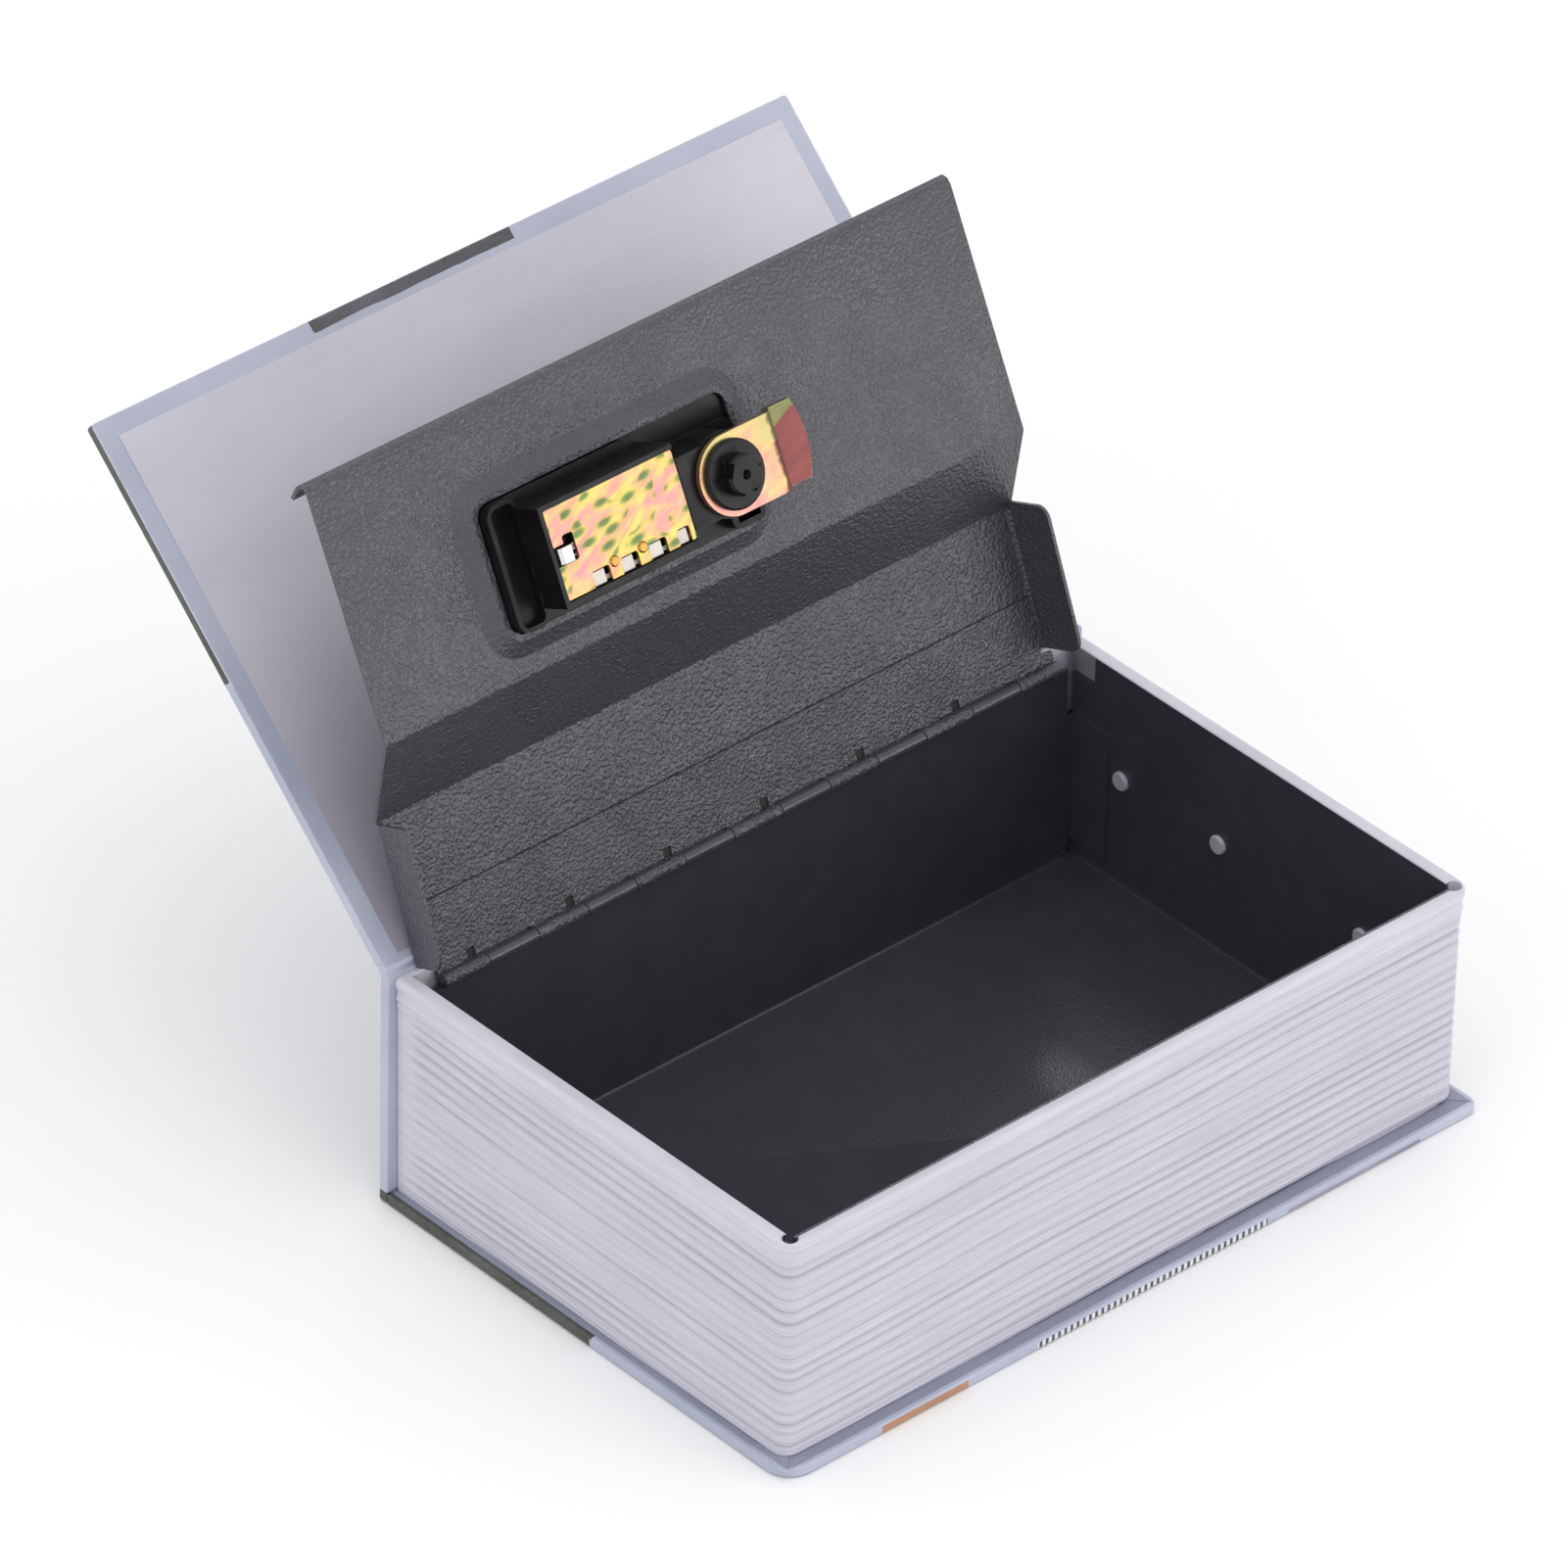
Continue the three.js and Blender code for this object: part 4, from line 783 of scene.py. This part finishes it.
crease_low, crease_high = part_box("cover_crease")
fold_line = Vector(cover_joint["pos_m"])
fold_left, fold_right = -89.9, 85.6
half_board = 1.2
roll = bmesh.new()
bmesh.ops.create_cone(roll, cap_ends=True, segments=40, radius1=half_board * mm, radius2=half_board * mm,
                      depth=crease_high[0] - crease_low[0])
middle = Vector(((crease_low[0] + crease_high[0]) / 2, fold_line.y, fold_line.z))
lay_along = Matrix.Translation(middle) @ Matrix.Rotation(math.pi / 2, 4, "Y")
bmesh.ops.transform(roll, verts=roll.verts, matrix=lay_along)
for face in roll.faces:
    face.smooth = len(face.verts) == 4
crease_body = body_of(frame["nodes"]["cover_crease"])[0]
crease = keep_piece("wrapped_crease", roll, wrap_paper, crease_body)
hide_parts("cover_crease")

y, z = fold_line.y / mm, fold_line.z / mm
spine_side = stretched([(56.19, 52.8), (58.61, 52.8), (y + half_board, z), (y - half_board, z),
                        (56.43, 53.55), (56.19, 53.4)])
keep_piece("fold_by_spine", spine_side, wrap_paper, "case")
over_board = half_board + 0.01
cover_side = stretched([(55.6, z - over_board), (55.6, z + over_board),
                        (y, z + half_board), (y, z - half_board)])
swing_open = Matrix.Rotation(-opened, 3, "X")
bmesh.ops.rotate(cover_side, verts=cover_side.verts, cent=fold_line, matrix=swing_open)
keep_piece("fold_by_cover", cover_side, open_wrap, "front_cover")

# %% [markdown]
# ### Mitred corners
#
# A bookbinder folds the wrap over the board's edges and cuts it at a slant where two folds meet. The
# slant shows at the two corners of the opening side as a low step in the paper. One outline is drawn for
# the right corner, mirrored for the left, and given the paper's thickness. Its underside lies a hair
# inside the board, so no gap shows.

# %% Mitred corners of the back board
corner_fold = [(85.5, -54.1), (89.25, -57.85), (89.7, -57.0), (89.7, -48.0), (85.5, -48.0)]
paper_low, paper_high = 2.39, 2.6
mitres = bmesh.new()
for side in (-1, 1):
    levels = [[mitres.verts.new((side * px * mm, py * mm, level_z * mm)) for px, py in corner_fold]
              for level_z in (paper_low, paper_high)]
    close_prism(mitres, levels)
keep_piece("corner_folds", mitres, wrap_paper, "case")
print("fold: roll and two wedges, and two mitred corners")

# %% [markdown]
# ## The moulded page shell
#
# From outside, the shell should pass for the edges of a thousand pages. The real one is moulded with
# rounded ribs that wander: their spacing and depth change along the book. A dense plain wall is made
# first, from the outline and the heights of the CAD shell. Geometry Nodes then press the ribs into its
# outer side by a rule: a wave up the wall whose phase is shifted by slow noise, with masks that leave the
# rim, the inner side and the stretch beside the spine plain.

# %% Plain wall of the shell
shell_x = shell_high[0] - 1.0 * mm
shell_fore = shell_low[1] + 1.0 * mm
shell_rear = shell_high[1]
foot_z, rim_z = shell_low[2], shell_high[2]
wall = 1.5 * mm
rim_radius = 1.25 * mm


def shell_outline(offset, fore_corner, rear_corner, spacing, lip=0.0):
    """Points round the shell, moved outwards by the offset. A lip moves only the two side walls inwards."""
    x1, y0 = shell_x + offset - lip, shell_fore - offset
    y1 = shell_rear + min(offset, 0)
    ends = [(x1, y0, -90, fore_corner), (x1, y1, 0, rear_corner), (-x1, y1, 90, rear_corner),
            (-x1, y0, 180, fore_corner)]
    counts = [int(length / spacing) for length in (shell_rear - shell_fore, 2 * shell_x) * 2]
    outline = []
    corners = []
    for x, y, start, radius in ends:
        centre = Vector((x - math.copysign(radius, x), y - math.copysign(radius, y)))
        angles = [math.radians(start + 15 * step) for step in range(7)]
        corners.append([centre + radius * Vector((math.cos(a), math.sin(a))) for a in angles])
    for corner, following, count in zip(corners, corners[1:] + corners[:1], counts):
        outline += corner
        outline += [corner[-1].lerp(following[0], step / count) for step in range(1, count)]
    return outline


def smooth_between(table, value):
    """Reads a table of (height, offset) with rounded transitions."""
    for (low, first), (high, second) in zip(table, table[1:]):
        if low <= value <= high:
            share = (value - low) / (high - low)
            return first + (second - first) * share * share * (3 - 2 * share)
    return table[-1][1]


def wall_mesh(name):
    """The wall as rings of points: up the outside, over the rim, and down the inside."""
    band = [(-60, 0.0), (-7.2, 0.0), (-6.2, 0.22), (-5.6, 0.0), (-4.7, 0.34), (-3.3, 0.06), (-1.25, 0.6)]
    top_row = rim_z - rim_radius
    ribbed_rows = 201
    fore_corner, inner_corner, rear_corner = 3.2 * mm, 1.2 * mm, 0.5 * mm
    inner_radius = 0.35 * mm
    over_steel, lip_thickness = 0.85 * mm, 0.37 * mm
    rows = []
    for i in range(ribbed_rows):
        height = foot_z + (top_row - foot_z) * i / (ribbed_rows - 1)
        draft = 0.4 * (height - foot_z) / (rim_z - foot_z)
        offset = (draft + smooth_between(band, (height - rim_z) / mm)) * mm
        rows.append((offset, height, fore_corner + max(offset, 0), 0.0))
    quarter = math.pi / 2
    rim = [(1.0 * mm - rim_radius, rim_radius, quarter * step / 6, 0.0) for step in range(1, 7)]
    rim += [(inner_radius - wall, inner_radius, quarter * (1 + step / 3), over_steel) for step in range(4)]
    for centre, radius, angle, lip in rim:
        offset = centre + radius * math.cos(angle)
        height = rim_z - radius + radius * math.sin(angle)
        rows.append((offset, height, inner_corner + (offset + wall) * 1.2, lip))
    rows.append((-wall, rim_z - lip_thickness, inner_corner, 0.0))
    rows.append((-wall, foot_z, inner_corner, 0.0))
    mesh = bmesh.new()
    pressed = mesh.verts.layers.float.new("pressed")
    rings = []
    for offset, height, corner, lip in rows:
        outline = shell_outline(offset, corner, rear_corner, 2.0 * mm, lip)
        rings.append([mesh.verts.new((p.x, p.y, height)) for p in outline])
    for ring in rings[:ribbed_rows]:
        for vertex in ring:
            vertex[pressed] = 1.0
    count = len(rings[0])
    for low, high in zip(rings, rings[1:] + rings[:1]):
        for i in range(count):
            j = (i + 1) % count
            mesh.faces.new((low[i], low[j], high[j], high[i]))
    bmesh.ops.recalc_face_normals(mesh, faces=mesh.faces)
    for face in mesh.faces:
        face.smooth = True
    data = bpy.data.meshes.new(name)
    mesh.to_mesh(data)
    mesh.free()
    return data


plain_wall = wall_mesh("moulded_page_shell")
print("shell wall:", len(plain_wall.polygons), "faces")

# %% [markdown]
# ### A rule for the ribs
#
# Each point of the wall reads its own height and works out how deep it is pressed. A wave up the wall
# gives the ribs, and slow noise shifts its phase so that they wander and change their spacing. A wave
# three times as fine adds hairlines between them. Masks hold back the rim, the inner side and the stretch
# beside the spine. The depth is also stored on each point as `groove`, which the plastic's material
# reads.

# %% Rule for the page ribs
pages = bpy.data.node_groups.new("page ribs", "GeometryNodeTree")
pages.interface.new_socket("Geometry", in_out="INPUT", socket_type="NodeSocketGeometry")
for label, value in (("Pitch", 2.7 * mm), ("Depth", 0.7 * mm), ("Wander", 2.2), ("Uneven", 1.1),
                     ("Last rib", rim_z - 6.4 * mm), ("Pocket", 1.65 * mm), ("Pocket depth", 2.4 * mm)):
    socket = pages.interface.new_socket(label, in_out="INPUT", socket_type="NodeSocketFloat")
    socket.default_value = value
material_socket = pages.interface.new_socket("Material", in_out="INPUT", socket_type="NodeSocketMaterial")
pages.interface.new_socket("Geometry", in_out="OUTPUT", socket_type="NodeSocketGeometry")
given = pages.nodes.new("NodeGroupInput").outputs
spot = put(pages, "GeometryNodeInputPosition").outputs[0]
parts = put(pages, "ShaderNodeSeparateXYZ")
wire(pages, spot, parts.inputs[0])


def stretched_noise(scale, squash, seed, detail=1.0):
    """Noise that changes slowly along the walls, and squash times faster up them."""
    slow = put(pages, "ShaderNodeVectorMath", operation="MULTIPLY")
    wire(pages, spot, slow.inputs[0])
    slow.inputs[1].default_value = (1.0, 1.0, squash)
    values = {"Scale": scale, "Detail": detail, "W": seed}
    texture = put(pages, "ShaderNodeTexNoise", values, noise_dimensions="4D")
    wire(pages, slow.outputs[0], texture.inputs["Vector"])
    return minus(pages, texture.outputs[0], 0.5)


def valleys(phase):
    """Narrow valleys: 1 at every whole phase, and 0 on the rib halfway between two."""
    angle = times(pages, phase, math.pi)
    wave = arithmetic(pages, "ABSOLUTE", arithmetic(pages, "SINE", angle))
    return minus(pages, 1.0, wave)


climb = arithmetic(pages, "DIVIDE", parts.outputs["Z"], given["Pitch"])
drift = times(pages, stretched_noise(9.0, 2.0, 3.0), given["Wander"])
spacing = times(pages, stretched_noise(1.5, 75.0, 11.0), given["Uneven"])
phase = plus(pages, climb, plus(pages, drift, spacing))
valley = arithmetic(pages, "POWER", valleys(phase), 1.25)
uneven = times(pages, stretched_noise(5.0, 62.0, 9.0, 2.0), 3.4)
strength = plus(pages, 0.55, uneven, clamp=True)
hairlines_per_rib, hairline_depth = 3.0, 0.26
fine = valleys(times(pages, phase, hairlines_per_rib))
hairline = times(pages, fine, hairline_depth)
valley = plus(pages, times(pages, valley, strength), hairline, clamp=True)
fade_out = {"To Min": 1.0, "To Max": 0.0}
below_rim = put(pages, "ShaderNodeMapRange", fade_out, interpolation_type="SMOOTHSTEP")
wire(pages, parts.outputs["Z"], below_rim.inputs["Value"])
wire(pages, given["Last rib"], below_rim.inputs["From Min"])
wire(pages, plus(pages, given["Last rib"], 1.0 * mm), below_rim.inputs["From Max"])
near_spine = {"From Min": shell_rear - 7.0 * mm, "From Max": shell_rear - 2.0 * mm, **fade_out}
before_spine = put(pages, "ShaderNodeMapRange", near_spine, interpolation_type="SMOOTHSTEP")
wire(pages, parts.outputs["Y"], before_spine.inputs["Value"])
pressed = put(pages, "GeometryNodeInputNamedAttribute", {"Name": "pressed"}, data_type="FLOAT")
press = pressed.outputs["Attribute"]
for mask in (valley, below_rim.outputs["Result"], before_spine.outputs["Result"]):
    press = times(pages, press, mask)
inwards = put(pages, "ShaderNodeVectorMath", operation="SCALE")
wire(pages, put(pages, "GeometryNodeInputNormal").outputs[0], inwards.inputs[0])
depth = times(pages, press, given["Depth"])
wire(pages, times(pages, depth, -1.0), inwards.inputs["Scale"])
keep = put(pages, "GeometryNodeStoreNamedAttribute", {"Name": "groove"}, data_type="FLOAT", domain="POINT")
wire(pages, given["Geometry"], keep.inputs["Geometry"])
wire(pages, press, keep.inputs["Value"])
move = put(pages, "GeometryNodeSetPosition")
wire(pages, keep.outputs[0], move.inputs["Geometry"])
wire(pages, inwards.outputs[0], move.inputs["Offset"])

# %% [markdown]
# ### Pockets at two corners
#
# The rim has a small round pocket at each corner of the opening side. Two cylinders stand on a line of
# two points, and a Boolean cuts them out of the wall. Doing it in the same tree keeps the pockets tied to
# the rim's sizes.

# %% Pockets at the two opening corners
pocket_in = 0.4 * mm
cylinder = put(pages, "GeometryNodeMeshCylinder", {"Vertices": 24})
wire(pages, given["Pocket"], cylinder.inputs["Radius"])
wire(pages, times(pages, given["Pocket depth"], 2.0), cylinder.inputs["Depth"])
spots = put(pages, "GeometryNodeMeshLine", {
    "Count": 2,
    "Start Location": (-shell_x + wall + pocket_in, shell_fore + wall + pocket_in, rim_z),
    "Offset": (2 * (shell_x - wall - pocket_in), 0.0, 0.0),
})
copies = put(pages, "GeometryNodeInstanceOnPoints")
wire(pages, spots.outputs[0], copies.inputs["Points"])
wire(pages, cylinder.outputs[0], copies.inputs["Instance"])
cutters = put(pages, "GeometryNodeRealizeInstances")
wire(pages, copies.outputs[0], cutters.inputs[0])
cut = put(pages, "GeometryNodeMeshBoolean", operation="DIFFERENCE", solver="EXACT")
wire(pages, move.outputs[0], cut.inputs[0])
wire(pages, cutters.outputs[0], cut.inputs[1])
realise = put(pages, "GeometryNodeRealizeInstances")
wire(pages, cut.outputs[0], realise.inputs[0])
paint = put(pages, "GeometryNodeSetMaterial")
wire(pages, realise.outputs[0], paint.inputs["Geometry"])
wire(pages, given["Material"], paint.inputs["Material"])
wire(pages, paint.outputs[0], pages.nodes.new("NodeGroupOutput").inputs[0])
print("page ribs:", len(pages.nodes), "nodes")

# %% [markdown]
# ### From the rule to a plain mesh
#
# The tree runs once, as a modifier on the plain wall, and its result is kept as an ordinary mesh. After
# that the modifier isn't needed, and the shell can ride on its body like any other piece.

# %% Press the ribs and keep a plain mesh
def made_by(tree, name, data, values):
    """Runs a node tree on a mesh and returns a plain object with the result."""
    maker = linked(name + "_maker", data)
    modifier = maker.modifiers.new("rule", "NODES")
    modifier.node_group = tree
    for identifier, value in values.items():
        modifier[identifier] = value
    seen = bpy.context.evaluated_depsgraph_get()
    plain = bpy.data.meshes.new_from_object(maker.evaluated_get(seen), preserve_all_data_layers=True,
                                            depsgraph=seen)
    plain.name = name
    bpy.data.objects.remove(maker)
    return linked(name, plain)


page_block = made_by(pages, "moulded_page_shell", plain_wall, {material_socket.identifier: page_plastic})
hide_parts("page_shell")
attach(page_block, "case")
print("page shell:", len(page_block.data.polygons), "faces")

# %% [markdown]
# ## Painted steel: box, lid and hinge
#
# Folded sheet has soft bends and cut edges. The bends are in the CAD solids already, so the copies only
# need their cut edges broken. The knuckles of the hinge are turned round the pin in the CAD, and shading
# them smoothly is all they need. The floors of the small notches in the lid's leaf get a near-black
# material, a painted shade that stands in for the shadow inside them.

# %% Box, lid and hinge
softened("folded_box", "steel_box", box_paint, 0.12)
softened("folded_lid", "lid_panel", lid_paint, 0.18, angle=25)
leaf = softened("lid_leaf", "lid_hinge_leaf", leaf_paint, 0.08)
# Painted shade: the notch floors get the near-black material in place of their shadow.
leaf.data.materials.append(notch_shade_paint)
broad = max((f for f in leaf.data.polygons if f.normal.y < 0), key=lambda f: f.area)
floors = []
for polygon in leaf.data.polygons:
    depth = (broad.center - polygon.center).dot(broad.normal)
    if polygon.normal.dot(broad.normal) > 0.99 and 0.1 * mm < depth < 0.5 * mm:
        polygon.material_index = 1
        floors.append(polygon)
print("notch floors:", len(floors))
softened("box_leaf", "box_hinge_leaf", hinge_paint, 0.1)
softened("pin", "hinge_pin", hinge_paint, 0.08)
for index in (1, 2, 3):
    for side in ("left", "right"):
        softened(f"rivet_{side}_{index}", f"shell_rivet_{side}_{index}", rivet_plastic, 0.1)

# %% [markdown]
# ## The lock
#
# The lock's mouldings have small rounds on every rim, the plate and the cam are stamped, and the nut is
# turned. They all keep the CAD's shapes, with edges softened to suit each.

# %% Lock pieces
softened("housing", "lock_housing", black_plastic, 0.15)
softened("bezel", "lock_bezel", black_plastic, 0.15)
softened("plate", "lock_cover_plate", plate_zinc, 0.08)
softened("spring", "detent_spring", spring_coat, 0.06)
softened("lever", "code_lever", bright_steel, 0.1)
softened("turning_cam", "cam", cam_zinc, 0.15)
softened("nut", "cam_nut", black_plastic, 0.18)
softened("turning_knob", "knob", black_plastic, 0.3, segments=3)
softened("spindle_rod", "spindle", bright_steel, 0.1)
softened("axle_rod", "dial_axle", bright_steel, 0.1)
softened("strike", "strike_plate", strike_zinc, 0.12)
for index in (1, 2):
    softened(f"strike_head_{index}", f"strike_rivet_{index}", bright_steel, 0.1)
    softened(f"plate_head_{index}", f"plate_rivet_{index}", brass, 0.05)
for index in (1, 2, 3, 4):
    softened(f"number_dial_{index}", f"dial_{index}", black_plastic, 0.12)
    softened(f"coded_sleeve_{index}", f"dial_sleeve_{index}", spring_coat, 0.08)

# %% [markdown]
# ### Pads on the spring's fingers
#
# In each window of the plate the finger shows as a cream square, almost flush with the plate. Its tip
# carries a small moulded pad that fills the window and leaves a dark gap on one side. Four small blocks
# are laid out in the lock's own frame, and one piece holds them all.

# %% Small blocks in the lock's frame
def blocks(name, spans, place, material, body):
    """One piece from several blocks, each given as three (low, high) pairs in millimetres."""
    mesh = bmesh.new()
    for span in spans:
        middle = Vector([(low + high) / 2 * mm for low, high in span])
        size = Vector([(high - low) * mm for low, high in span])
        shape = Matrix.Translation(middle) @ Matrix.Diagonal(size).to_4x4()
        bmesh.ops.create_cube(mesh, size=1.0, matrix=place @ shape)
    piece = keep_piece(name, mesh, material, body)
    bevel = piece.modifiers.new("softened edges", "BEVEL")
    bevel.width = 0.12 * mm
    bevel.segments = 2


finger_spans = [(-37.3, -34.3), (-30.15, -27.15), (-23.0, -20.0), (-15.85, -13.5)]
across, outwards_to = (-8.3, -5.5), (10.35, 11.2)
pads = [(span, across, outwards_to) for span in finger_spans]
spring_body = body_of(frame["nodes"]["detent_spring"])[0]
blocks("finger_pads", pads, lock_frame, spring_coat, spring_body)
print("pads:", len(pads))

# %% [markdown]
# ## Numbers on the dials
#
# Each dial has ten flats with the numbers 0 to 9, printed in white. A text object gives the shape of a
# number. It is made a mesh first, then laid on its flat and turned about the dial's axle, and the ten
# become one piece.

# %% Numbers
flats = 10
number_height, number_relief, number_radius = 3.7 * mm, 0.09 * mm, 6.96 * mm


def numbers(index):
    axle = Vector(joints[f"dial_{index}_turn"]["pos_m"])
    dial_low, dial_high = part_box(f"dial_{index}")
    axle.x = (dial_low[0] + dial_high[0]) / 2
    outwards = -into_box
    upright = -to_lip
    ring = bmesh.new()
    for digit in range(flats):
        text = bpy.data.curves.new("digit", "FONT")
        text.body = str(digit)
        text.size = number_height
        text.extrude = number_relief
        text.resolution_u = 3
        text.align_x = "CENTER"
        text.align_y = "CENTER"
        maker = linked("digit", text)
        seen = bpy.context.evaluated_depsgraph_get()
        shape = bpy.data.meshes.new_from_object(maker.evaluated_get(seen))
        lay = Matrix((along_hinge, upright, outwards)).transposed().to_4x4()
        lay.translation = outwards * number_radius
        turn = Matrix.Rotation(2 * math.pi / flats * digit, 4, "X")
        shape.transform(Matrix.Translation(axle) @ turn @ lay)
        ring.from_mesh(shape)
        bpy.data.objects.remove(maker)
        bpy.data.meshes.remove(shape)
    piece = piece_from(f"dial_numbers_{index}", ring, numeral_paint)
    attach(piece, body_of(frame["nodes"][f"dial_{index}"])[0])
    return len(piece.data.polygons)


print("faces of numbers:", [numbers(index) for index in (1, 2, 3, 4)])

# %% [markdown]
# ## The floor
#
# The object stands on a plain pale floor that runs out past the picture. It lies a hair below the book,
# so that the two faces don't fight for the same place.

# %% Floor
floor_mesh = bpy.data.meshes.new("floor")
floor_mesh.from_pydata([(-8, -8, 0), (8, -8, 0), (8, 8, 0), (-8, 8, 0)], [], [(0, 1, 2, 3)])
floor = linked("floor", floor_mesh)
floor.location.z = -0.2 * mm
pale = bpy.data.materials.new("pale floor")
pale.use_nodes = True
matt = {"Base Color": (0.93, 0.93, 0.93, 1), "Roughness": 0.9, "Specular IOR Level": 0.1}
for label, value in matt.items():
    pale.node_tree.nodes["Principled BSDF"].inputs[label].default_value = value
floor_mesh.materials.append(pale)
print("floor:", floor.name)

# %% [markdown]
# ## Studio light
#
# The light is a bright tent. An even sky fills it, and four soft panels shape it: a large one at the
# front right that the lid mirrors, one overhead, one at the left, and a small bright one behind at the
# right that makes the soft patch on the bottom of the box. A panel's energy follows its area, so its face
# keeps its brightness when its size is changed.

# %% Light
sky = bpy.data.worlds.new("studio")
bpy.context.scene.world = sky
sky.use_nodes = True
sky.node_tree.nodes["Background"].inputs["Color"].default_value = (1.0, 1.0, 1.0, 1)
sky.node_tree.nodes["Background"].inputs["Strength"].default_value = 0.92


def soft_panel(name, direction, distance, width, height, brightness, aim=(0.0, 0.02, 0.04)):
    """A soft box whose face has that brightness, aimed at the book."""
    light = bpy.data.lights.new(name, "AREA")
    light.shape = "RECTANGLE"
    light.size = width
    light.size_y = height
    light.energy = brightness * math.pi * width * height
    panel = linked(name, light)
    place = Vector(direction).normalized() * distance + Vector(aim)
    panel.location = place
    panel.rotation_euler = (place - Vector(aim)).to_track_quat("Z", "Y").to_euler()


soft_panel("front right panel", (0.551, -0.835, 0.16), 1.7, 1.1, 0.8, 2.6)
soft_panel("overhead panel", (-0.1, -0.1, 1.0), 2.0, 1.6, 1.6, 0.8)
soft_panel("left panel", (-1.0, -0.25, 0.35), 1.8, 1.2, 1.0, 1.1)
soft_panel("back right panel", (0.5575, 0.5774, 0.5965), 1.9, 0.12, 0.12, 14.0, (0.0391, 0.0064, 0.0032))
bpy.context.scene.view_settings.view_transform = "Standard"
bpy.context.scene.view_settings.look = "None"
print("panels:", len(bpy.data.lights))
